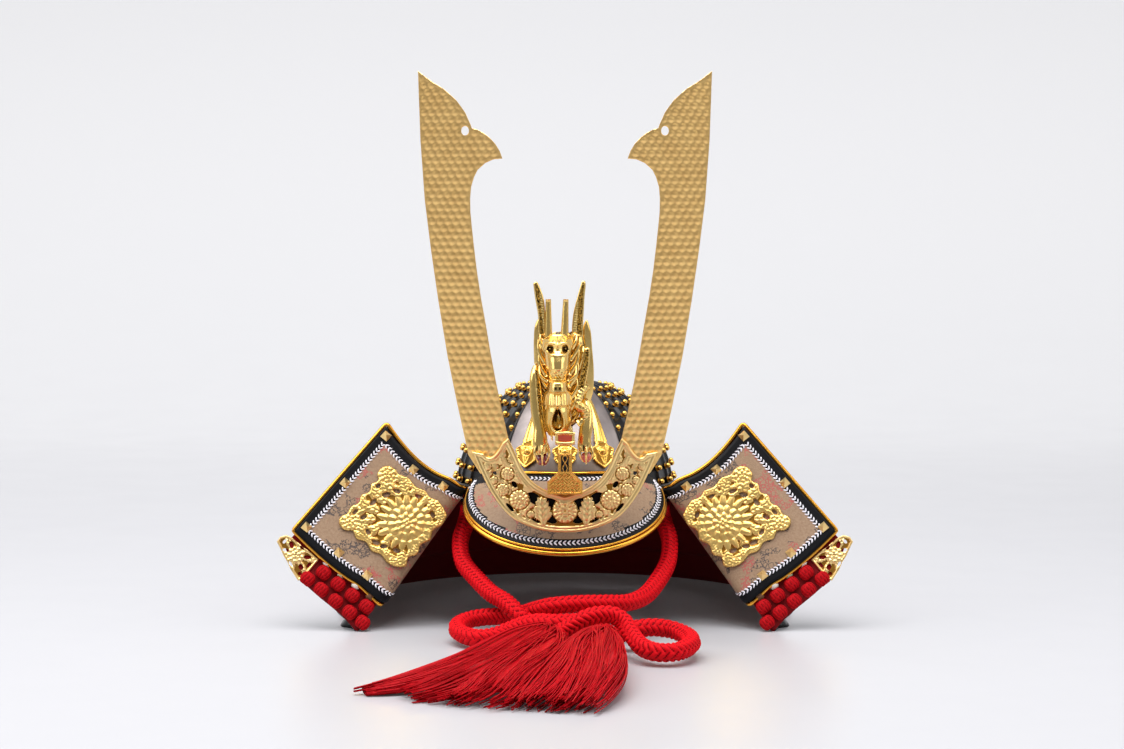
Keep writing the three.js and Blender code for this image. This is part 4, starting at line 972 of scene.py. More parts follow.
tint = add_node(leather, "ShaderNodeMapRange", {"Value": tint_noise, "From Min": 0.51,
                "From Max": 0.53})
ink = add_node(leather, "ShaderNodeMix", {"Factor": tint, "A": linear("#2A2A33"),
               "B": linear("#B5484A")}, data_type="RGBA")
hide = add_node(leather, "ShaderNodeMix", {"Factor": grain_noise, "A": linear("#80634A"),
                "B": linear("#AC9074")}, data_type="RGBA")
printed = add_node(leather, "ShaderNodeMix", {"Factor": inked, "A": hide,
                   "B": ink}, data_type="RGBA")
link(printed, leather_shader, "Base Color")
link(add_node(leather, "ShaderNodeBump", {"Height": pore_noise, "Strength": 0.5,
     "Distance": 0.15 * MM}), leather_shader, "Normal")
navy_band = new_material("navy_band", base_color=linear("#040409"), roughness=0.5, specular_ior_level=0.18)[0]
white_silk = new_material("white_silk", base_color=linear("#ECEAF2"), roughness=0.55)[0]


def peak_root(u):
    rise = np.degrees(np.arcsin((78.5 - 7 * np.abs(u) ** 3 - BOWL_FOOT) / BOWL_HALF_DEEP))
    return on_bowl(53.5 * u, rise, 2.3)


def peak_edge(u):
    turn = np.radians(115 * u)
    return np.stack([50.5 * np.sin(turn), -57 - 40 * np.cos(turn), 43.8 + 19.5 * (1 - np.cos(turn))], axis=-1)


def peak_middle(u, v):
    bulge = (3 * np.sin(np.pi * v) * np.cos(u * np.pi / 2))[..., None] * np.array([0, -0.6, 0.8])
    return peak_root(u) * (1 - v)[..., None] + peak_edge(u) * v[..., None] + bulge


def peak_at(u, v, lift):
    """Points above the peak's underside, along its outward normal."""
    u, v = np.asarray(u, dtype=float), np.asarray(v, dtype=float)
    step = 0.004
    along_u = peak_middle(np.minimum(u + step, 1), v) - peak_middle(np.maximum(u - step, -1), v)
    along_v = peak_middle(u, np.minimum(v + step, 1)) - peak_middle(u, np.maximum(v - step, 0))
    normal = np.cross(along_u, along_v)
    normal = normal / np.linalg.norm(normal, axis=-1, keepdims=True)
    normal = np.where(normal[..., 2:3] < 0, -normal, normal)
    return peak_middle(u, v) + normal * np.asarray(lift)[..., None]


peak_u = np.linspace(-1, 1, 97)
peak_v = np.linspace(0, 1, 37)
points, faces = sheet_points(peak_at, peak_u, peak_v, 1.6, 0.0)
peak_piece = mesh_piece("peak_leather", points, faces, leather, slot="leather", replaces=["peak"])


def near_edge(spots, line):
    """Distance from each spot to a line of points."""
    return np.min(np.linalg.norm(spots[:, None, :] - line[None, :, :], axis=2), axis=1)


def face_middles(points, faces):
    return np.array([points[list(face)].mean(axis=0) for face in faces])


PEAK_BAND, BROW_BAND = 5.9, 8.5
foot_line, root_line = peak_edge(np.linspace(-1, 1, 161)), peak_root(np.linspace(-1, 1, 161))
middles = face_middles(points, faces)
at_brow = (near_edge(middles, root_line) < BROW_BAND) & (np.abs(middles[:, 0]) < 60)
second_material(peak_piece, (near_edge(middles, foot_line) < PEAK_BAND) | at_brow, navy_band)


def chevrons(name, line, normals, pitch=2.3, half=1.3, thick=0.42, flip=1.0):
    """White stitches in pairs along a line, slanting to a point on it, as a braid's chevrons do."""
    line, normals = np.asarray(line), np.asarray(normals)
    run = run_along(line)
    places = np.arange(pitch * 0.6, run[-1] - pitch * 0.8, pitch)
    spots = np.stack([np.interp(places, run, line[:, k]) for k in range(3)], axis=1)
    ahead = np.stack([np.interp(places + 0.5, run, line[:, k]) for k in range(3)], axis=1) - spots
    above = np.stack([np.interp(places, run, normals[:, k]) for k in range(3)], axis=1)
    stitch_profile = [(0, -1.0), (0.45, -0.86), (0.8, -0.45), (1.0, 0), (0.8, 0.45), (0.45, 0.86), (0, 1.0)]
    stitch, stitch_faces = revolve(stitch_profile, 8)
    parts = []
    for spot, forward, up in zip(spots, ahead, above):
        forward = forward / np.linalg.norm(forward) * flip
        up = up / np.linalg.norm(up)
        side = np.cross(up, forward)
        for hand in (-1, 1):
            tip, tail = spot + forward * 0.85, spot - forward * 0.75 + side * hand * half
            middle, length = (tip + tail) / 2, np.linalg.norm(tip - tail) / 2 + 0.12
            lengthways = (tip - tail) / np.linalg.norm(tip - tail)
            turn = np.stack([np.cross(up, lengthways) * 0.44, up * thick, lengthways * length], axis=1)
            parts.append((stitch @ turn.T + middle, stitch_faces))
    points, faces = join_parts(parts)
    mesh_piece(name, points, faces, white_silk, slot="leather")


def inset_line(line, inner, distance, lift, at):
    """Points at a distance inside a sheet's edge, with the sheet's normals."""
    found, normals = [], []
    for u in line:
        v = np.linspace(0.25, 1, 120)
        spots = at(np.full(v.shape, u), v, lift)
        gap = near_edge(spots, inner)
        index = len(v) - 1 - np.argmax(gap[::-1] >= distance)
        found.append(spots[index])
        normals.append(at(np.array(u), np.array(v[index]), lift + 1.0) - spots[index])
    return np.array(found), np.array(normals)


rim_u = np.linspace(-0.93, 0.93, 150)
line, normals = inset_line(rim_u, foot_line, 4.0, 1.75, peak_at)
chevrons("peak_chevrons", line[::-1], normals[::-1])
top_u = np.linspace(-0.42, 0.42, 40)
top_spots = peak_at(top_u, np.full(top_u.shape, 0.135), 1.75)
top_normals = peak_at(top_u, np.full(top_u.shape, 0.135), 2.75) - top_spots
chevrons("peak_top_chevrons", top_spots, top_normals)

rim_route = []
for u in np.linspace(-0.95, 0.95, 150):
    edge = peak_edge(np.array(u))
    inward = peak_middle(np.array(u), np.array(0.97)) - edge
    rim_route.append(edge - inward / np.linalg.norm(inward) * 1.95 + np.array([0, 0, 0.35]))
rim_route = smooth_route(rim_route[::3], 1.0)
mesh_piece("peak_rim_gilt", *tube(rim_route, 1.3, 12), deep_gold,
           slot="deep_gold", replaces=["peak_rim"])
inner_rim = peak_at(np.linspace(-0.97, 0.97, 120), np.ones(120), 1.6)
mesh_piece("peak_rim_bead", tube_points(inner_rim, 0.6, 8), tube_faces(120, 8), deep_gold, slot="deep_gold")
bar_u = np.linspace(-0.5, 0.5, 50)
bar_route = peak_at(bar_u, np.full(bar_u.shape, 0.05), 2.1)
ends = [peak_at(np.array(-0.52), np.array(v), 2.0) for v in (0.3, 0.22, 0.14, 0.08)]
other = [peak_at(np.array(0.52), np.array(v), 2.0) for v in (0.08, 0.14, 0.22, 0.3)]
bar_route = smooth_route(ends + bar_route[3:-3:4].tolist() + other, 0.8)
mesh_piece("peak_top_bar", *tube(bar_route, 0.8, 10), deep_gold,
           slot="deep_gold")

# --------------------
# Neck guard. Four lacquered lames flare out round the back and sides. The first turns forward into
# the upper wings and the last into the lower ones. Maroon lacquer inside, black outside.
# --------------------
maroon_lacquer = new_material("maroon_lacquer", base_color=linear("#7A060C"), roughness=0.55,
                              specular_ior_level=0.15)[0]
GUARD_WALL, GUARD_STEP = 2.1, 3.4


def unit(vectors):
    """The vectors, scaled to a length of 1."""
    return np.asarray(vectors) / np.linalg.norm(vectors, axis=-1, keepdims=True)


def mirrored(spots, side):
    """The points, with X turned over where the side is -1."""
    return spots * np.stack([side, np.ones_like(side), np.ones_like(side)], axis=-1)


wing_origin = np.array([51.0, -52.0, 69.0])
edge_unit, ruling_unit = unit([42.7, 6.3, 33.0]), unit([45.0, -24.0, -51.0])
face_out = unit([-0.12, -0.935, 0.335])
wing_rows = [(10, 2.2, 0.955), (18, 4.3, 0.95), (27, 5, 0.947), (36, 4.2, 0.94), (45, 2.4, 0.905),
             (53.5, 0, 0.865)]
BACK_STATIONS = 10  # from the middle of the back to the cheek; the guard then folds forward into the wing
stations = []
for degrees in range(0, 111, 11):
    turn = math.radians(degrees)
    top = np.array([61.5 * math.sin(turn), 66 * math.cos(turn), 66])
    foot = np.array([121 * math.sin(turn), 121 * math.cos(turn), 0])
    stations.append((*top, *(foot - top), 1.0, 0.0))
stations += [(54.8, -33, 66.7, 60, -32, -68, 0.98, 0), (52.6, -41, 68, 55, -33, -71, 0.955, 0.4),
             (52.8, -47, 69, 53, -33, -73, 0.94, 0.8), (55.8, -50.9, 70.4, 52.4, -33, -73.7, 0.95, 1)]
for across, sag, foot in wing_rows:
    top = wing_origin + edge_unit * across + ruling_unit * sag
    stations.append((*top, *(ruling_unit * (96 - 0.8 * sag)), foot, 1.0))
stations = np.array(stations)
FOLD, last_station = 12.0, len(stations) - 1
fine_index = np.concatenate([np.linspace(0, BACK_STATIONS, 71)[:-1],
                             np.linspace(BACK_STATIONS, last_station, 73)])


def through_stations(index):
    """The guard's ruled surface at a place between stations, along a smooth curve through them."""
    index = np.clip(index, 0, last_station)
    low = np.minimum(index.astype(int), last_station - 1)
    t = (index - low)[..., None]
    p0, p1 = stations[np.maximum(low - 1, 0)], stations[low]
    p2, p3 = stations[low + 1], stations[np.minimum(low + 2, last_station)]
    m1, m2 = (p2 - p0) / 2, (p3 - p1) / 2
    m1 = np.where((low == BACK_STATIONS)[..., None], p2 - p1, m1)
    m2 = np.where((low == BACK_STATIONS - 1)[..., None], p2 - p1, m2)
    return ((2 * t ** 3 - 3 * t ** 2 + 1) * p1 + (t ** 3 - 2 * t ** 2 + t) * m1
            + (-2 * t ** 3 + 3 * t ** 2) * p2 + (t ** 3 - t ** 2) * m2)


def guard_at(index, v, lift, side=1):
    """A point on the guard: station, share of the way down and lift away from the head."""
    row = through_stations(index)
    ahead, behind = through_stations(index + 0.02), through_stations(index - 0.02)
    along = unit(ahead[..., :2] - behind[..., :2])
    out = np.stack([-along[..., 1], along[..., 0], np.zeros_like(along[..., 0])], axis=-1)
    spot = row[..., :3] + row[..., 3:6] * v[..., None] + out * lift[..., None]
    return spot * np.array([side, 1, 1])


def guard_sheet(first, last, top, foot, lift_top, lift_foot, rows=9):
    """Points and faces of one lame on both sides of the helmet. Its foot may be a function of the station."""
    index = fine_index[(fine_index >= first) & (fine_index <= last)]
    if first <= 0:
        index = np.concatenate([-index[:0:-1], index])
    place_index, share = np.meshgrid(index, np.linspace(0, 1, rows), indexing="ij")
    station = np.abs(place_index)
    feet = foot(station) if callable(foot) else foot
    v = top + (feet - top) * share
    lift = lift_top + (lift_foot - lift_top) * share

    def at(u, w, extra):
        return mirrored(guard_at(station, v, lift + extra), np.where(place_index < 0, -1, 1))

    return sheet_points(at, index, np.linspace(0, 1, rows), GUARD_WALL, 0)


def both_sides(part):
    """A part and its mirror image."""
    points, faces = part
    return [part, (points * np.array([-1, 1, 1]), [face[::-1] for face in faces])]


def foot_share(index):
    return through_stations(index)[..., 6]


lames = {
    "lame_1": [guard_sheet(0, FOLD, 0.0, 0.26, 0, 0)]
              + both_sides(guard_sheet(FOLD, last_station, 0.0, 0.75, 0, 0, rows=18)),
    "lame_2": [guard_sheet(0, FOLD - 0.2, 0.22, 0.5, GUARD_STEP, 0)],
    "lame_3": [guard_sheet(0, FOLD - 0.2, 0.46, 0.75, GUARD_STEP, 0)],
    "lame_4": [guard_sheet(0, FOLD, 0.71, foot_share, GUARD_STEP, 0)]
              + both_sides(guard_sheet(FOLD, last_station, 0.71, foot_share, GUARD_STEP, 2.9)),
}
for name, parts in lames.items():
    inner = np.concatenate([np.arange(len(points)) >= len(points) // 2 for points, faces in parts])
    points, faces = join_parts(parts)
    piece = mesh_piece(name + "_lacquer", points, faces, black_lacquer, slot="black_lacquer", replaces=[name])
    second_material(piece, [inner[list(face)].all() for face in faces], maroon_lacquer)

# --------------------
# Back lacing. Flat red silk cords laced side by side over each lame, and on the last lame one row
# of many colours above two rows of red crossed knots.
# --------------------
red_lacing = silk("red_lacing", "#B8040A", 2.2, 2.0, bump=0.5)
CORD_ROWS = 6


def lacing_band(number, top, foot, lift_top, lift_foot, pitch=2.6):
    """A sheet of side by side cords on the outside of a lame."""
    dense = np.linspace(0, BACK_STATIONS, 1200)
    spots = guard_at(dense, np.full(dense.shape, (top + foot) / 2), np.full(dense.shape, 3.0))
    run = run_along(spots)
    run_at = np.arange(0, int(run[-1] / pitch) * pitch, pitch / 5)
    half, phase = np.interp(run_at, run, dense), run_at / pitch
    index = np.concatenate([-half[:0:-1], half])
    wave = np.concatenate([phase[:0:-1], phase])
    place_index, share = np.meshgrid(index, np.linspace(0, 1, CORD_ROWS), indexing="ij")
    ridge = np.sqrt(np.abs(np.sin(np.pi * np.repeat(wave[:, None], CORD_ROWS, axis=1))))
    ends = np.sin(np.pi * np.clip(share * 0.86 + 0.07, 0, 1)) ** 0.3

    def at(u, w, extra):
        lift = lift_top + (lift_foot - lift_top) * share + GUARD_WALL
        lift = lift + extra * (0.35 + 0.65 * ridge) * ends + 0.05
        spots = guard_at(np.abs(place_index), top + (foot - top) * share, lift)
        return mirrored(spots, np.where(place_index < 0, -1, 1))

    points, faces = sheet_points(at, index, np.linspace(0, 1, CORD_ROWS), 1.6, 0.0)
    mesh_piece(f"lacing_back_{number}_cords", points, faces, red_lacing, slot="red_silk",
               replaces=[f"lacing_back_{number}"])


lacing_band(1, 0.05, 0.19, 0, 0)
lacing_band(2, 0.29, 0.43, 2.55, 0.85)
lacing_band(3, 0.53, 0.68, 2.6, 0.85)

silk_colours = {"white": "#E9E6DC", "green": "#3E6B46", "pale_green": "#B9C9A0", "brown": "#6B4A33",
                "purple": "#4A2E5E", "red": "#B00410"}
silks = {}
for name, colour in silk_colours.items():
    silks[name] = silk(f"{name}_silk_puff", colour, 1.8, 3.0, bump=0.35)


def closed_faces(across, along):
    """Faces of a round form, closed at both ends."""
    first = [i * along for i in range(across)]
    ends = [tuple(first[::-1]), tuple(i + along - 1 for i in first)]
    return grid_faces(across, along, ring_across=True) + ends


def puff(wide, tall, high, strands=5, across=48, along=11):
    """A bundle of silk strands laid over a lame, drawn in at both ends: x across, y along, z out.
    The faces between two strands, which take painted shade, come as a list of flags."""
    points, shaded_faces = [], []
    for i in range(across):
        angle = 2 * math.pi * i / across
        for j in range(along):
            share = -1 + 2 * (j + 0.5) / along
            swell = (1 - abs(share) ** 2.4) ** 0.5
            x = math.cos(angle)
            valley = abs(math.cos(strands * math.pi * (x + 0.15 * share) / 2)) ** 4
            up = max(math.sin(angle), 0.25 * math.sin(angle))
            points.append((wide / 2 * swell ** 0.8 * math.copysign(abs(x) ** 0.85, x),
                           tall / 2 * share * (1 + 0.04 * abs(x)), high * swell * up * (1 - 0.25 * valley)))
            if j < along - 1:
                shaded_faces.append(valley > 0.72)
    return np.array(points), closed_faces(across, along), shaded_faces + [False, False]


def puffs(name, colour, spots, size, replaced=()):
    points, faces, shaded_faces = puff(*size)
    piece = mesh_piece(name, *copies(points, faces, spots), silks[colour], slot="red_silk", replaces=replaced)
    # Painted shade: on the red knots, the gaps between strands in a darker red.
    if colour == "red":
        second_material(piece, np.tile(shaded_faces, len(spots)), groove_shade_red)


def back_spots(v, lift, pitch, shift):
    """Places and turns along one row round the outside of the last lame."""
    dense = np.linspace(0, BACK_STATIONS, 800)
    line = guard_at(dense, np.full(dense.shape, v), np.full(dense.shape, lift + GUARD_WALL))
    run = run_along(line)
    mirror = np.array([-1, 1, 1])
    found = []
    for place_run in np.arange(pitch * shift, run[-1] - pitch / 2, pitch):
        index = np.interp(place_run, run, dense)
        spot, ahead, below = (guard_at(np.array(i), np.array(w), np.array(lift + GUARD_WALL))
                              for i, w in ((index, v), (index + 0.03, v), (index, v + 0.02)))
        x_axis, y_axis = unit(ahead - spot), unit(spot - below)
        z_axis = np.cross(x_axis, y_axis)
        z_axis = -z_axis if z_axis[:2].dot(spot[:2]) < 0 else z_axis
        found.append((spot, np.stack([x_axis, y_axis, z_axis], axis=1)))
        if place_run > 1e-6:
            mirrored_turn = np.stack([-x_axis * mirror, y_axis * mirror, z_axis * mirror], axis=1)
            found.append((spot * mirror, mirrored_turn))
    return found


row_spots = back_spots(0.8, 2.2, 4.6, 0)
for number, colour_name in enumerate(("white", "pale_green", "green", "brown", "purple")):
    puffs(f"lacing_back_4_{colour_name}", colour_name, row_spots[number::5], (4.4, 5.4, 1.3, 3, 18, 7),
          replaced=["lacing_back_4"] if number == 0 else ())
for name, v, lift, shift in (("upper", 0.86, 1.5, 0), ("lower", 0.925, 0.7, 0.5)):
    puffs(f"lacing_back_4_red_{name}", "red", back_spots(v, lift, 9.4, shift), (8.6, 6.2, 1.6, 5, 32, 8))

# --------------------
# Wings. Printed leather inside a black lacquered border and a chevron braid, with a round gilt rim,
# square studs, a large pierced peony plaque and, on the lower wing, a flower plaque and red knots.
# --------------------


def on_wing(across, down, out, side):
    """Points on a wing, from its inner top corner: along the top edge, down the wing, and out from it."""
    across, down, out = np.broadcast_arrays(np.asarray(across, dtype=float), down, out)
    spot = (wing_origin + across[..., None] * edge_unit + down[..., None] * ruling_unit
            + out[..., None] * face_out)
    return spot * np.array([side, 1, 1])


LEATHER_TOP, LEATHER_FOOT, FRONT_LIFT = -0.004, 0.752, -1.6
FOLD_START, WING_WIDE, WING_HIGH, WING_BAND = 12.2, 53.5, 94, 5.4


def wing_place(index):
    """How far across the wing a station is, in mm."""
    return np.interp(index, range(12, 21), [-3, 0, 4.7] + [row[0] for row in wing_rows])


def leather_gap(index, v):
    """Distance of a place on the leather from its top, free and lower edges."""
    to_rims = np.minimum(v - LEATHER_TOP, LEATHER_FOOT - v) * WING_HIGH
    return np.minimum(to_rims, WING_WIDE - wing_place(index))


def wing_leather(name, side):
    index = fine_index[fine_index >= FOLD_START]
    stations_at, v = np.meshgrid(index, np.linspace(LEATHER_TOP, LEATHER_FOOT, 48), indexing="ij")

    def at(u, w, lift):
        return guard_at(stations_at, v, np.full(v.shape, lift), side)

    points, faces = sheet_points(at, index, v[0], FRONT_LIFT, FRONT_LIFT + 1.0)
    if side < 0:
        faces = [face[::-1] for face in faces]
    piece = mesh_piece(name + "_printed", points, faces, leather, slot="leather", replaces=[name])
    places = np.tile(np.stack([stations_at.ravel(), v.ravel()], axis=1), (2, 1))
    middles = face_middles(places, faces)
    second_material(piece, leather_gap(middles[:, 0], middles[:, 1]) < WING_BAND, navy_band)


def wing_line(side, inset):
    """Lines a given way inside the leather's top, free and lower edges."""
    free_index = np.interp(WING_WIDE - inset, [wing_place(i) for i in range(12, 21)], range(12, 21))
    along = np.linspace(FOLD_START + 0.3, free_index, 60)
    down = np.linspace(LEATHER_TOP + inset / WING_HIGH, LEATHER_FOOT - inset / WING_HIGH, 50)
    lines = [(along, np.full(60, down[0])), (np.full(50, free_index), down),
             (along[::-1], np.full(60, down[-1]))]
    return [guard_at(index, v, np.full(len(v), FRONT_LIFT - 0.15), side) for index, v in lines]


def wing_rim(name, side):
    """The gilt rim, bent round the top, free and lower edges of the upper wing."""
    reach = 1.3 / WING_HIGH

    def edge(index, v, beyond):
        spot = guard_at(np.array(float(index)), np.array(v), np.array(0.5), side)
        return spot + edge_unit * np.array([side, 1, 1]) * beyond

    along = np.linspace(FOLD_START + 0.2, last_station - 0.05, 30)
    top = [edge(index, -reach, 0) for index in along]
    free = [edge(last_station, v, 1.3) for v in np.linspace(0.01, 0.74, 16)]
    foot = [edge(index, 0.75 + reach, 0) for index in along[::-1]]
    upper, lower = edge(last_station, -reach * 0.8, 1.0), edge(last_station, 0.75 + reach * 0.8, 1.0)
    route = smooth_route(top + [upper] + free + [lower] + foot, 1.0)
    mesh_piece(name + "_gilt", *tube(route, 1.1, 14), deep_gold,
               slot="deep_gold", replaces=[name])


plaque_gold = gold("plaque_gold", "#F3CD7C", 0.34, tarnish="#D8A34A")
plaque_outline = [(-1.0, 17.5), (3.5, 15.2), (8, 14.2), (12, 15.4), (16, 14.2), (21, 15.6), (27, 14.4),
                  (32, 16), (35, 15.2), (39, 16), (41, 19), (40.6, 23), (38, 25.5), (39.4, 29), (37.6, 33),
                  (39.6, 37), (38, 41), (39.8, 45), (39, 49), (40.4, 53), (38, 56.2), (34, 56.4),
                  (31, 54.4), (27, 56.2), (22, 54.6), (17, 56.4), (12, 54.8), (7, 56), (2, 54.8),
                  (-1.6, 51.5), (0.2, 47), (-2.2, 43), (-0.4, 38), (-2.4, 33), (-0.4, 28), (-2.0, 23)]
plaque_smooth = curve_side(plaque_outline + plaque_outline[:1], 0.8)[:-1]
plaque_holes = [(18, 51.5, 2.1, 1.1, 15), (13.6, 50.6, 1.8, 1.1, 40), (7.2, 48.2, 1.9, 1.2, 20),
                (30, 28.6, 2.1, 1.3, 60), (27, 23.6, 1.9, 1.1, 20), (5.0, 21.8, 1.7, 1.0, -30),
                (32.6, 36, 1.1, 2.1, 0), (31.4, 45.2, 1.7, 1.1, 70), (24.6, 49.8, 1.7, 1.0, -20),
                (17, 18.8, 1.6, 0.9, 10), (36.2, 27.6, 0.9, 1.4, 0), (36.4, 45.8, 0.9, 1.6, 0)]
plaque_leaves = [(24, 24, 0, 14, 6.5), (22, 22, -35, 10, 5.5), (18, 20.5, -60, 7, 5),
                 (13, 19.5, -100, 6, 4.5), (4, 22, -130, 8, 5), (3, 26, 180, 6, 5), (2, 31, 170, 5, 4.5),
                 (2, 37, 180, 5, 4.5), (2, 43, 170, 5, 4.5), (5, 46, 120, 9, 5.5), (14, 46.5, 95, 9.5, 5.5),
                 (22, 44, 70, 12, 6), (26, 42, 40, 14, 6.5), (27, 38, 12, 13, 6.5), (27, 32, -5, 13, 6.5),
                 (28, 28, -25, 12, 6), (26, 50, 10, 8, 5), (33, 40, 60, 9, 5.5), (34, 34, -60, 9, 5.5),
                 (20, 52, 20, 8, 4.5), (28, 17, 0, 6, 4), (21, 47, 40, 9, 5), (24, 54.5, 170, 8, 4),
                 (29, 52, -160, 8, 4.5), (32, 55, 180, 7, 3.6), (30, 47.5, 150, 8, 4.5)]


plaque_border = []
for here, ahead in zip(plaque_smooth[::5], plaque_smooth[2::5] + plaque_smooth[:1]):
    heading = math.degrees(math.atan2(ahead[1] - here[1], ahead[0] - here[0])) + 40
    plaque_border.append((here[0], here[1], heading, 7.5, 3.8))


def peony(a, d, centre, raised):
    """Lay a peony over a relief: a fan of long petals, two rings of round ones and a tight heart."""
    reach = np.hypot(a - centre[0], d - centre[1])
    raised = petal_ring(a, d, centre, 19, 10.6, 10.5, 3.7, 0.35, 0.7, 0.1, raised)
    raised = np.where(reach < 10.0, np.minimum(raised, 0.35 + 0.04 * reach), raised)
    raised = petal_ring(a, d, centre, 13, 6.8, 6.0, 3.8, 0.5, 0.85, 0.35, raised)
    raised = np.where(reach < 5.4, 0.5, raised)
    raised = petal_ring(a, d, centre, 8, 3.6, 4.2, 3.2, 0.8, 0.85, 0.0, raised)
    raised = np.where(reach < 2.2, 0.8, raised)
    return petal_ring(a, d, centre, 4, 1.1, 2.4, 2.2, 1.1, 0.8, 0.5, raised)


def cut_edge(outline, holes=()):
    """The edge of a plate cut to an outline, with elliptical holes in it."""
    def edge(a, d):
        return np.minimum.reduce([inside(outline, a, d)] + [ellipse_gap(a, d, *hole) for hole in holes])
    return edge


def plaque_height(a, d, e):
    raised = np.full_like(a, 0.12)
    for values in plaque_leaves + plaque_border:
        raised = np.maximum(raised, 1.05 * leaf(a, d, *values))
    raised = peony(a, d, (12.6, 33.6), raised)
    for a0, d0, size, petals in ((36.4, 20, 4.6, 9), (35, 52, 4.3, 9), (8.2, 17.8, 3.0, 7),
                                 (10, 53.0, 2.8, 7)):
        raised = blossom(a, d, (a0, d0), size, petals, raised, 0.25)
    raised = np.maximum(raised, 0.7 * rim_line(inside(plaque_smooth, a, d), 0.4, 0.5))
    return raised * np.clip(e / 0.5, 0.35, 1)


def pierced_plaque(name, side, out, metal, limit, edge, height, low, high, step):
    def at(a, d, h):
        return on_wing(a, d, out + h, side)

    # Painted shade: the low ground of each plaque in a darker gold.
    pressed(name + "_pierced", relief(edge, height, low, high, step, at, 0.35), metal, "bright_gold", limit,
            dark_gold_and_recess_shade, replaces=[name], flip=side > 0)


corner_outline = [(34.8, 76.2), (40, 75.8), (46, 76.2), (52, 75.8), (56, 76.6), (57.8, 79.4), (57.4, 82.4),
                  (53.4, 84.2), (50, 86), (46.4, 87.2), (43, 89), (39.6, 90.2), (36, 91.4), (34.6, 89)]
corner_hole_rows = [(40.2, 79, 1.5, 0.9, 40), (50.6, 79, 1.5, 0.9, -40), (39.4, 85, 1.3, 0.9, -35),
                    (51, 83, 1.3, 0.8, 30), (45.4, 76.9, 1.1, 0.5, 0), (37, 81.6, 0.7, 1.2, 0),
                    (54.4, 79.8, 0.6, 1.0, 0), (44.4, 87, 1.2, 0.6, -20), (37.6, 88, 0.8, 0.8, 0)]
corner_holes = [(a, d, 1.3 * wide, 1.3 * high, turn) for a, d, wide, high, turn in corner_hole_rows]


def corner_height(a, d, e):
    raised = np.full_like(a, 0.15)
    for degrees in range(22, 360, 45):
        turn = math.radians(degrees)
        root_a, root_d = 45.4 + 4.2 * math.cos(turn), 81.8 + 4.2 * math.sin(turn)
        raised = np.maximum(raised, leaf(a, d, root_a, root_d, degrees, 6.4, 3.2, teeth=3))
    raised = blossom(a, d, (45.4, 81.8), 4.6, 9, raised, 0.3)
    return np.maximum(raised, 0.95 * rim_line(inside(corner_outline, a, d), 0.6, 0.6))


def wing_turn(side, spin=0.0):
    """A turn whose axes run across, up and out of a wing."""
    mirror = np.array([side, 1, 1])
    across, out = edge_unit * mirror, face_out * mirror
    up = np.cross(out, across)
    up = -up if up[2] < 0 else up
    cosine, sine = math.cos(spin), math.sin(spin)
    return np.stack([across * cosine + up * sine, up * cosine - across * sine, out], axis=1)


for side, name in ((-1, "left"), (1, "right")):
    wing_leather(f"wing_leather_{name}", side)
    wing_rim(f"wing_rim_{name}", side)
    pierced_plaque(f"peony_plaque_{name}", side, 1.85 + 0.35, plaque_gold, 0.42,
                   cut_edge(plaque_smooth, plaque_holes), plaque_height, (-3, 13.5), (41.5, 57), 0.38)
    pierced_plaque(f"flower_plaque_{name}", side, -2.0, pale_gold, 0.3,
                   cut_edge(corner_outline, corner_holes), corner_height, (34, 75), (58.4, 92), 0.3)
    for leg_name, leg, flip in zip(("top", "free", "foot"), wing_line(side, WING_BAND), (1, 1, -1)):
        normals = np.broadcast_to(face_out * np.array([side, 1, 1]), (len(leg), 3))
        chevrons(f"wing_chevrons_{leg_name}_{name}", leg, normals, pitch=2.1, half=1.25, flip=flip)
    turn = wing_turn(side)
    upper = [(on_wing(a, 80.0, -1.6, side), turn) for a in (28.6, 19.2, 9.8, 0.6)]
    lower = [(on_wing(a, 87.6, -1.9, side), turn) for a in (32.8, 23.9, 14.5, 5.2, -3.2)]
    puffs(f"lacing_wing_{name}_red", "red", upper + lower, (7.7, 7.4, 3.0), replaced=[f"lacing_wing_{name}"])
    for colour_name, places in (("white", (30.4, 11.8)), ("pale_green", (21.1,)), ("brown", (2.5,))):
        spots = [(on_wing(a, 74.6, -1.5, side), turn) for a in places]
        puffs(f"lacing_wing_{name}_{colour_name}", colour_name, spots, (4.6, 4.6, 2.2, 3, 18, 8))


def refinish(name, material):
    """A better material on a CAD node."""
    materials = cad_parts[name].data.materials
    materials.clear()
    materials.append(material)


for node_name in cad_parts:
    if node_name.startswith("wing_stud"):
        refinish(node_name, pale_gold)


# --------------------
# Crest socket. A gilt stem with a black lacquered panel and scrollwork stands on a stamped boss in
# the middle of the horn base, and the dragon's tang drops into it.
# --------------------
socket_gold = gold("socket_gold", "#F0B65A", 0.26, tarnish="#CC8428")
antique_gold, antique_shader = new_material("antique_gold", base_color=linear("#A87A2C"), metallic=1.0,
                                            roughness=0.3)
antique_cells = add_node(antique_gold, "ShaderNodeTexNoise", {"Vector": in_mm(antique_gold), "Scale": 1.5,
                         "Detail": 4.0})
antique_range = add_node(antique_gold, "ShaderNodeMapRange", {"Value": antique_cells, "From Min": 0.42,
                         "From Max": 0.6})
link(add_node(antique_gold, "ShaderNodeMix", {"Factor": antique_range,
     "A": linear("#1E1409"), "B": linear("#D9A548")}, data_type="RGBA"), antique_shader, "Base Color")
link(add_node(antique_gold, "ShaderNodeBump", {"Height": antique_cells, "Strength": 0.6,
     "Distance": 0.3 * MM}), antique_shader, "Normal")
socket_right = [(0, 73.3), (8.7, 73.3), (8.7, 79.3), (4.6, 83.2), (3.5, 84.6), (3.5, 93.3), (0, 93.3)]
socket_outline = socket_right[:-1] + [(-x, z) for x, z in socket_right[:0:-1]]


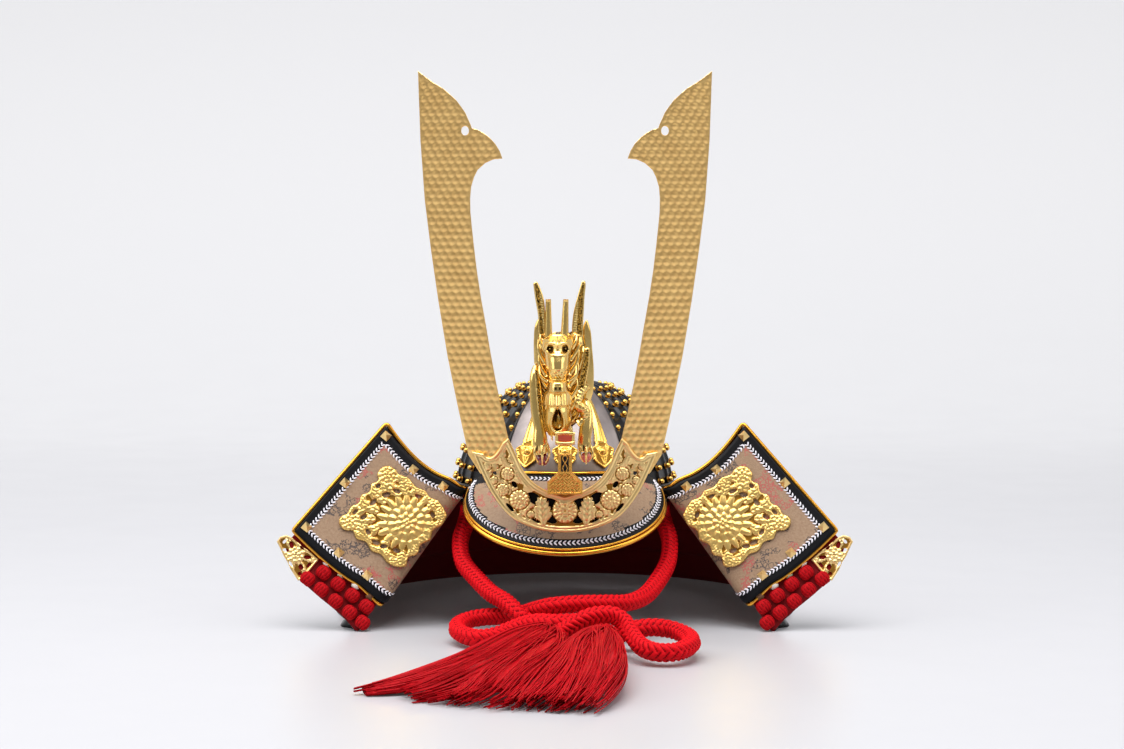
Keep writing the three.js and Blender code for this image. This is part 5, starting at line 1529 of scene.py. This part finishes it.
def socket_height(x, z, e):
    rim = 0.75 * np.clip((1.3 - e) / 0.5, 0, 1)
    stamped = 0.35 * np.abs(np.sin(1.7 * x + 2.6 * np.sin(1.1 * z)) * np.sin(1.8 * z + 2.2 * np.sin(1.3 * x)))
    scroll = np.exp(-((np.abs(x) - 1.1 * np.abs(np.sin((z - 84) * 0.62))) / 0.32) ** 2) * 0.4
    return np.where(z < 83.4, np.maximum(rim, stamped), np.maximum(rim * (np.abs(x) > 2.0), scroll))


def socket_at(x, z, h):
    return np.stack([x, -103.9 - h + 0 * x, z], axis=1)


points, faces = relief(cut_edge(socket_outline), socket_height, (-9, 73), (9, 94), 0.26,
                       socket_at, 0.2)[:2]
socket_piece = mesh_piece("crest_socket_front", points, faces, socket_gold, slot="bright_gold")
x, y, z = face_middles(points, faces).T
second_material(socket_piece, (np.abs(x) < 2.0) & (z > 84.6) & (z < 92.6) & (y > -104.12), black_lacquer)
refinish("crest_socket", socket_gold)

# --------------------
# Dragon crest. A gilt casting: a long horned head over a scaled neck, flat ears and mane plates
# behind it, and two forelegs whose claws hold garnet glass beads. Polished, with painted shade in its
# hollows.
# --------------------
dragon_gold = gold("dragon_gold", "#F8D584", 0.2, tarnish="#E0A848")
# Painted shade: a dark gold for the eyes, nostrils and mouth, the gaps between the knuckles and the furrows
# of the hair.
shade_gold = new_material("shade_gold", base_color=linear("#4A3010"), metallic=0.9, roughness=0.3)[0]


def block(x, low, high, soft):
    """1 between low and high and 0 outside, with soft ends."""
    rising, falling = (1 + np.exp(-np.clip(gap / soft, -30, 30)) for gap in (x - low, high - x))
    return 1 / rising / falling


def mound(x, z, centre_x, centre_z, wide, high):
    """A smooth mound, 1 at its centre."""
    return np.exp(-((x - centre_x) / wide) ** 2 - ((z - centre_z) / high) ** 2)


head_rows = np.array([(153.5, 3.2, 2.0), (151.5, 6.8, 4.8), (149.2, 7.2, 6.8), (147.4, 7.0, 6.6),
                      (145.8, 6.4, 7.6), (144.2, 6.0, 9.4), (141, 5.8, 10.8), (137.4, 5.6, 11.8),
                      (136.4, 5.4, 11.0), (134, 5.0, 10.2), (132.2, 4.3, 9.4), (131.2, 4.4, 12.4),
                      (129, 4.7, 14.0), (126.4, 5.2, 14.4), (125.6, 5.9, 11.4), (122, 6.8, 12.8),
                      (119.6, 7.2, 13.8), (118.8, 6.0, 9.6), (116, 6.4, 10.4), (110, 6.4, 9.8),
                      (106, 5.2, 8.0), (104.2, 4.2, 5.6)])[::-1]
HEAD_X, HEAD_FRONT = -3.6, -112.2
EYES, EYE_Z = (-7.3, 0.1), 147.0


def head_half(z):
    return np.interp(z, head_rows[:, 0], head_rows[:, 1])


def head_edge(x, z):
    return np.minimum(head_half(z) + 0.5 - np.abs(x - HEAD_X), np.minimum(z - 104.2, 153.5 - z) + 0.3)


def head_height(x, z, e):
    u = np.clip(np.abs(x - HEAD_X) / (head_half(z) + 0.5), 0, 1)
    reach = np.interp(z, head_rows[:, 0], head_rows[:, 2])
    square = 2.6 + 0.9 * block(z, 125.6, 131.6, 0.4)
    raised = reach * (1 - u ** square) ** 0.7
    for eye in EYES:
        raised -= 3.0 * mound(x, z, eye, EYE_Z, 1.3, 1.5)
        raised += 1.6 * mound(x, z, eye, 150.2, 2.2, 1.0) + 0.9 * mound(x, z, eye, 144.6, 2.0, 0.8)
    raised += 1.6 * mound(x, z, HEAD_X, 149.6, 1.1, 2.4)
    curls = np.abs(np.sin(1.5 * (x - HEAD_X) + 1.3 * np.sin(1.5 * z))) * block(z, 132.8, 136.6, 0.3)
    raised += 0.8 * curls
    raised += 0.6 * mound(x, z, HEAD_X, 130.6, 4.0, 0.8)
    raised += 0.8 * np.abs(np.cos(1.5 * (x - HEAD_X))) * block(z, 119.4, 125.2, 0.35)
    mouth = ((x - HEAD_X) / (1.6 + 0.16 * (118 - z))) ** 2 + ((z - 112.4) / 5.2) ** 2
    raised -= 6.5 * np.clip(1.15 - mouth, 0, 1) ** 0.5
    raised += 0.9 * np.exp(-((mouth - 1.6) / 0.4) ** 2)
    raised += 2.2 * mound(x, z, HEAD_X + 0.4, 109.2, 1.5, 3.2)
    return np.maximum(raised, 0.2)


def front_at(y, tilt=0.0, middle_z=0.0, turn=0.0):
    """A placing for reliefs that face the front at a given depth, tilted back or turned about Z."""
    def at(x, z, h):
        return np.stack([x, y - h + tilt * (z - middle_z) + turn * x, z], axis=1)
    return at


def cast(name, parts, shaded_faces=None, material=None):
    points, faces = join_parts(parts)
    piece = mesh_piece(name, points, faces, material or dragon_gold, slot="bright_gold")
    if shaded_faces:
        second_material(piece, [shaded_faces(*middle) for middle in face_middles(points, faces)], shade_gold)
    return piece


def head_shade(x, y, z):
    """Whether a place on the head is in an eye, a nostril or the mouth, beside the tongue; these places take
    painted shade.
    """
    eyes = any(((x - eye) / 1.6) ** 4 + ((z - EYE_Z) / 1.35) ** 4 < 1 for eye in EYES)
    nostrils = any(abs(x - at_x) < 0.5 and abs(z - 128.2) < 0.65 for at_x in (-4.6, -2.6))
    mouth = ((x - HEAD_X) / 1.9) ** 2 + ((z - 113.4) / 3.6) ** 2 < 1
    tongue = abs(x - HEAD_X - 0.4) <= 0.8 - 0.2 * (z - 112)
    return (eyes or nostrils or (mouth and not tongue)) and y < -112


head = relief(head_edge, head_height, (-11, 104), (4, 154), 0.33, front_at(HEAD_FRONT), 6.0)
cast("dragon_head", [head[:2]], head_shade)


def rod(low, high, low_radius, high_radius, around=16, rings=14, bow=(0, 0, 0)):
    """A tapered rod with a rounded flat end."""
    low, high = np.array(low, dtype=float), np.array(high, dtype=float)
    share = np.linspace(0, 1, rings)
    route = low + (high - low) * share[:, None] + np.sin(math.pi * share)[:, None] * np.array(bow)
    length = np.linalg.norm(high - low)

    def radius(run, angle):
        along = np.clip(run / length, 0, 1)
        return (low_radius + (high_radius - low_radius) * along) * (1 + 0 * angle)

    return tube_points(route, radius, around, start_up=(0.1, 1, 0)), tube_faces(rings, around)


def lump(centre, radii, across, along):
    """An ellipsoid."""
    points = []
    for turn in 2 * math.pi * np.arange(across) / across:
        for rise in -math.pi / 2 + math.pi * (np.arange(along) + 0.5) / along:
            points.append((centre[0] + radii[0] * math.cos(rise) * math.cos(turn),
                           centre[1] + radii[1] * math.cos(rise) * math.sin(turn),
                           centre[2] + radii[2] * math.sin(rise)))
    return np.array(points), closed_faces(across, along)


cast("dragon_horns", [rod((-8.2, -108.5, 148.5), (-8.3, -106.5, 171), 2.1, 1.35),
                      rod((-0.4, -108.5, 148.5), (0.4, -106.5, 171), 2.2, 1.35)])


def plate(name, outline, y, thick, rim, grain, tilt=0.0, turn=0.0, dome=0.6, dark=True):
    """A cast plate with a polished rim round a granular, darker middle."""
    route = curve_side(outline + outline[:1], 0.6)[:-1]
    low = np.min(route, axis=0)
    high = np.max(route, axis=0)

    def height(x, z, e):
        middle = np.clip((e - rim) / 0.3, 0, 1)
        if not dark:
            return dome * np.sqrt(np.clip(e / rim, 0, 1)) + 0.25 * np.clip(e - rim, 0, 4)
        grains = np.abs(np.sin(grain * x + 0.8 * np.sin(1.3 * z)) * np.sin(grain * z + 0.9 * np.sin(1.1 * x)))
        return dome * np.sqrt(np.clip(e / rim, 0, 1)) * (1 - 0.55 * middle) + middle * 0.5 * grains

    points, faces = relief(cut_edge(route), height, low, high, 0.36,
                           front_at(y, tilt, low[1], turn), thick)[:2]
    piece = mesh_piece(name, points, faces, dragon_gold, slot="bright_gold")
    if dark:
        middles = face_middles(points, faces)
        gaps = inside(route, middles[:, 0], middles[:, 2])
        second_material(piece, [gap > rim and (dark is True or dark(middle[0], middle[2]))
                                for gap, middle in zip(gaps, middles)], antique_gold)


plate("dragon_ear_left", [(-15.8, 178.9), (-14.2, 179.8), (-11.8, 175.4), (-10.4, 170.5), (-9.8, 163.6),
                          (-10, 154), (-12.6, 153), (-13.4, 163), (-15, 172.5)],
      -107, 1.2, 0.75, 2.6, tilt=0.03,
      dark=lambda x, z: x < -11.2 - 0.1 * (z - 160))
plate("dragon_ear_right", [(8.4, 180), (10, 179.8), (9.7, 171.5), (9.0, 158.6), (8.6, 152), (4.2, 152.4),
                           (3.8, 161.6), (6.2, 172.5)],
      -107, 1.2, 0.8, 2.6, tilt=0.03, turn=0.25, dark=lambda x, z: x > 5.6 + 0.06 * (z - 152))
plate("dragon_mane_left", [(-15.4, 139), (-15.6, 150), (-14.9, 158), (-13.2, 161), (-11.4, 158.5),
                           (-10.6, 150), (-10.8, 139), (-13, 136)],
      -103.5, 2.0, 1.0, 2.2, dome=0.9, dark=False)
plate("dragon_mane_right", [(9.0, 115), (13.4, 122), (14.4, 133), (13.6, 146), (12.6, 156), (10.8, 160.6),
                            (8.8, 157), (8.2, 146), (7.6, 130)],
      -102.5, 2.0, 0.9, 2.2, dome=0.9, dark=False)
plate("dragon_blade", [(9.6, 146.5), (12, 147), (12.2, 140), (10.8, 131), (8.2, 121), (5.4, 120.4),
                       (5.8, 128), (8.0, 137)],
      -110, 1.6, 0.8, 1.2, dome=0.7, turn=0.3)
neck_route = smooth_route([(-3.6, -107, 151), (-2.6, -103.6, 143), (-3.4, -102.4, 131), (-2.4, -102.8, 119),
                           (-1, -103.4, 108), (0, -102.6, 99)], 0.7)


def scaled_neck(run, angle):
    taper = 8.4 - 3.6 * np.clip(run / 52, 0, 1)
    row = np.floor(run / 2.6)
    across = (angle / (2 * math.pi) * 14 + 0.5 * (row % 2)) % 1 - 0.5
    along = (run / 2.6) % 1
    return taper * (0.82 + 0.16 * np.abs(np.sin(angle)) ** 2) + 0.55 * (1 - along) * (1 - (2 * across) ** 2)


cast("dragon_neck", [tube(neck_route, scaled_neck, 70)])


LIMB_SQUARE = 4.0


def limb(rows, around=12):
    """A limb with facets along it, from rows of x, y, z, half width and half depth."""
    rows = smooth_route(rows, 0.8)
    sides, ups = carried_frames(rows[:, :3], (0, 1, 0.01))
    angles = np.linspace(0, 2 * math.pi, around, endpoint=False)
    shape = np.abs(np.cos(angles)) ** LIMB_SQUARE + np.abs(np.sin(angles)) ** LIMB_SQUARE
    shape = shape ** (-1 / LIMB_SQUARE)
    wide, deep = (shape * np.cos(angles))[:, None], (shape * np.sin(angles))[:, None]
    rings = [row[:3] + row[3] * wide * side + row[4] * deep * up for row, side, up in zip(rows, sides, ups)]
    return np.concatenate(rings), tube_faces(len(rows), around)


def claw(root, tip, bow, radius):
    return rod(root, tip, radius, 0.35, around=10, rings=10, bow=bow)


left_leg = [(-14.6, -104, 137, 1.4, 2.2), (-15.0, -106.5, 133, 2.4, 3.0), (-14.8, -107.6, 124, 2.8, 3.2),
            (-14.0, -109, 114, 2.8, 3.2), (-12.8, -110.6, 107, 2.8, 3.0), (-12.4, -111.6, 102.6, 3.5, 3.2),
            (-12.2, -112.4, 98.4, 3.7, 3.2), (-11.6, -112.4, 94.6, 3.0, 2.6)]
cast("dragon_leg_left", [limb(left_leg)])
plate("dragon_shin_left", [(-15.2, 137.2), (-13.6, 136.4), (-12.2, 130), (-11.0, 120), (-9.8, 110),
                           (-9.2, 105.4), (-11, 104.4), (-12.6, 106), (-13.6, 116), (-14.6, 127)],
      -110.4, 2.6, 0.7, 1.3, tilt=0.05,
      turn=0.15, dome=0.6)


def scaled_body(run, angle):
    row = np.floor(run / 1.9)
    across = (angle / (2 * math.pi) * 9 + 0.5 * (row % 2)) % 1 - 0.5
    return 2.5 + 0.5 * (1 - (run / 1.9) % 1) * (1 - (2 * across) ** 2)


body_route = smooth_route([(10.4, -104, 128), (6.6, -107, 123.6), (6.0, -109, 118.6), (9.6, -108.4, 116),
                           (9.8, -108, 111.6), (6.4, -108.6, 109)], 0.5)
right_leg = [(10.2, -104, 120, 2.0, 2.4), (11.0, -106.4, 114, 2.8, 3.0), (10.4, -108.6, 107, 3.2, 3.4),
             (9.8, -109.8, 102, 3.2, 3.2), (9.6, -110.6, 98.6, 3.4, 3.0), (9.6, -111, 95.4, 2.8, 2.6)]
body = tube(body_route, scaled_body, 36)
cast("dragon_leg_right", [limb(right_leg), body])
cast("dragon_eyes", [lump((eye, -116.0, EYE_Z + 0.1), (0.65, 0.6, 0.55), 16, 12) for eye in EYES])
# Painted shade: dark lumps in the gaps between the knuckles.
knuckle_shades = [lump((x, y, 97.6), (0.42, 0.5, 1.7), 10, 8)
         for x, y in ((-13.8, -115.4), (-11.2, -115.6), (9.2, -113.6), (11.0, -113.4))]
cast("dragon_knuckle_shade", knuckle_shades, material=shade_gold)
claw_rows = [  # x, y and z of the root and of the tip, the bow across and to the front, and the thickness
    (-13.6, -113.6, 99.5, -13.2, -114.2, 90.4, -1.6, -1.6, 1.05),
    (-11.4, -114.4, 99.5, -11.2, -114.6, 89.2, 0, -2.4, 1.1),
    (-9.2, -113.6, 99.5, -9.6, -114.2, 90.4, 1.6, -1.6, 1.05),
    (-11.4, -109.6, 99, -11, -109, 89.4, 0, 2.2, 1.1), (8.4, -112.2, 98.6, 8.9, -113, 90.8, -1.4, -1.4, 0.95),
    (10.4, -112.8, 98.6, 10.5, -113.2, 89.6, 0, -2.0, 1.0),
    (12.4, -112.2, 98.6, 12.0, -113, 90.8, 1.4, -1.4, 0.95),
    (10.4, -109, 98, 10.4, -108.4, 89.8, 0, 2.0, 1.0)]
cast("dragon_claws", [claw(row[:3], row[3:6], (*row[6:8], 0), row[8]) for row in claw_rows])
mane_rows = [  # x and z of the root and of the tip, the depth, the thickness and the bow
    (-9.4, 133, -12.6, 146, -108.6, 1.5, -1.6), (-9.8, 139, -13.2, 152, -108, 1.4, -1.4),
    (-9.6, 145, -12.0, 155, -108, 1.3, -1.2), (-9.0, 127, -12.2, 137, -108, 1.4, -1.4),
    (2.0, 128, 6.4, 141, -110.5, 1.6, 1.6), (2.4, 134, 6.8, 148, -109.6, 1.6, 1.4),
    (2.8, 141, 7.4, 153, -108.6, 1.6, 1.2), (2.6, 122, 5.6, 133, -111, 1.4, 1.6),
    (3.4, 147, 5.8, 154, -109.6, 1.3, 0.8), (2.2, 116, 4.8, 125, -110.6, 1.3, 1.2),
    (-9.4, 121, -10.8, 112, -108.4, 1.3, -1.0), (-9.6, 116, -10.2, 106, -108.6, 1.2, -0.8)]
cast("dragon_mane", [rod((x, depth, z), (tip_x, depth + 1.8, tip_z), size, 0.3, 12, 12, (bow, -1.2, 0))
                     for x, z, tip_x, tip_z, depth, size, bow in mane_rows])
hair_outline = [(-13.8, 138), (-13.2, 150), (-11.2, 156), (-6, 153), (-3.6, 154.6), (-0.6, 153),
                (4.6, 155.6), (8.6, 153.4), (10.6, 145), (10.8, 132), (9.2, 120), (6.6, 110), (2, 106),
                (-8.6, 106), (-11.2, 112), (-12.8, 124)]


def hair_height(x, z, e):
    away = x - HEAD_X
    locks = np.abs(np.sin(0.62 * np.abs(away) - 0.42 * z + 0.9 * np.sin(0.25 * z + 0.3 * x)))
    fine = 0.12 * np.sin(5.2 * (0.62 * np.abs(away) - 0.42 * z))
    return np.clip(e / 1.6, 0, 1) ** 0.6 * (0.5 + 2.6 * locks ** 0.7 + fine)


hair = relief(cut_edge(hair_outline), hair_height, (-14, 105), (11, 157), 0.42,
              front_at(-104.6), 1.6)
# Painted shade: the furrows between the locks in dark gold.
pressed("dragon_hair", hair, dragon_gold, "bright_gold", 0.95, shade_gold)
jaw_fringe = []
for x in (-5.2, -3.6, -1.8, 0, 1.8, 3.6, 5.2):
    round_out = 1 - (x / 6) ** 2
    jaw_fringe.append(claw((HEAD_X + x, -117 - 2.2 * round_out, 121.5),
                           (HEAD_X + x * 1.12, -118 - 2.5 * round_out, 117.4), (0, -0.8, 0), 0.8))
teeth = [claw((HEAD_X + x, -114.5, 106), (HEAD_X + x * 0.8, -115.5, 101.6), (0, -0.6, 0), 0.9)
         for x in (-3.4, 3.4)]
whiskers = [rod((HEAD_X + side * 5.2, -116, 131), (HEAD_X + side * 9.0, -113, 139), 0.9, 0.3,
                bow=(side * 1.5, -1.5, -1)) for side in (-1, 1)]
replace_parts(cast("dragon_fringe", jaw_fringe + teeth + whiskers), "dragon")
garnet = new_material("garnet", base_color=linear("#7A1020"), roughness=0.06, ior=1.6, coat_weight=1.0,
                      coat_roughness=0.03)[0]
coral = new_material("coral", base_color=linear("#E2552A"), roughness=0.3, coat_weight=0.5)[0]
rose_garnet = new_material("rose_garnet", base_color=linear("#D9675A"), roughness=0.1, coat_weight=1.0)[0]
for name, centre, size, material in (("dragon_gem_left", (-11.2, -111.6, 91.8), 3.3, garnet),
                                     ("dragon_gem_right", (10.4, -110.9, 92.6), 2.7, rose_garnet)):
    points, faces = lump(centre, (size, size, size), 32, 24)
    mesh_piece(name + "_bead", points, faces, material, slot="garnet", replaces=[name])
tongue_low, tongue_high = ((corner - bowl_axis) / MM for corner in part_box("dragon_tongue"))
lip_y = tongue_low.y - 0.3
lips = [rod((tongue_low.x - 0.6, lip_y, z), (tongue_high.x + 0.6, lip_y, z), 1.0, 1.0, 12, 12,
            (0, -0.8, bend)) for z, bend in ((tongue_high.z - 0.2, 0.5), (tongue_low.z + 0.3, -0.4))]
lips += [rod((x, lip_y, tongue_low.z), (x, lip_y, tongue_high.z), 0.8, 0.8, 12, 8)
         for x in (tongue_low.x, tongue_high.x)]
cast("dragon_lips", lips)
refinish("dragon_tongue", coral)
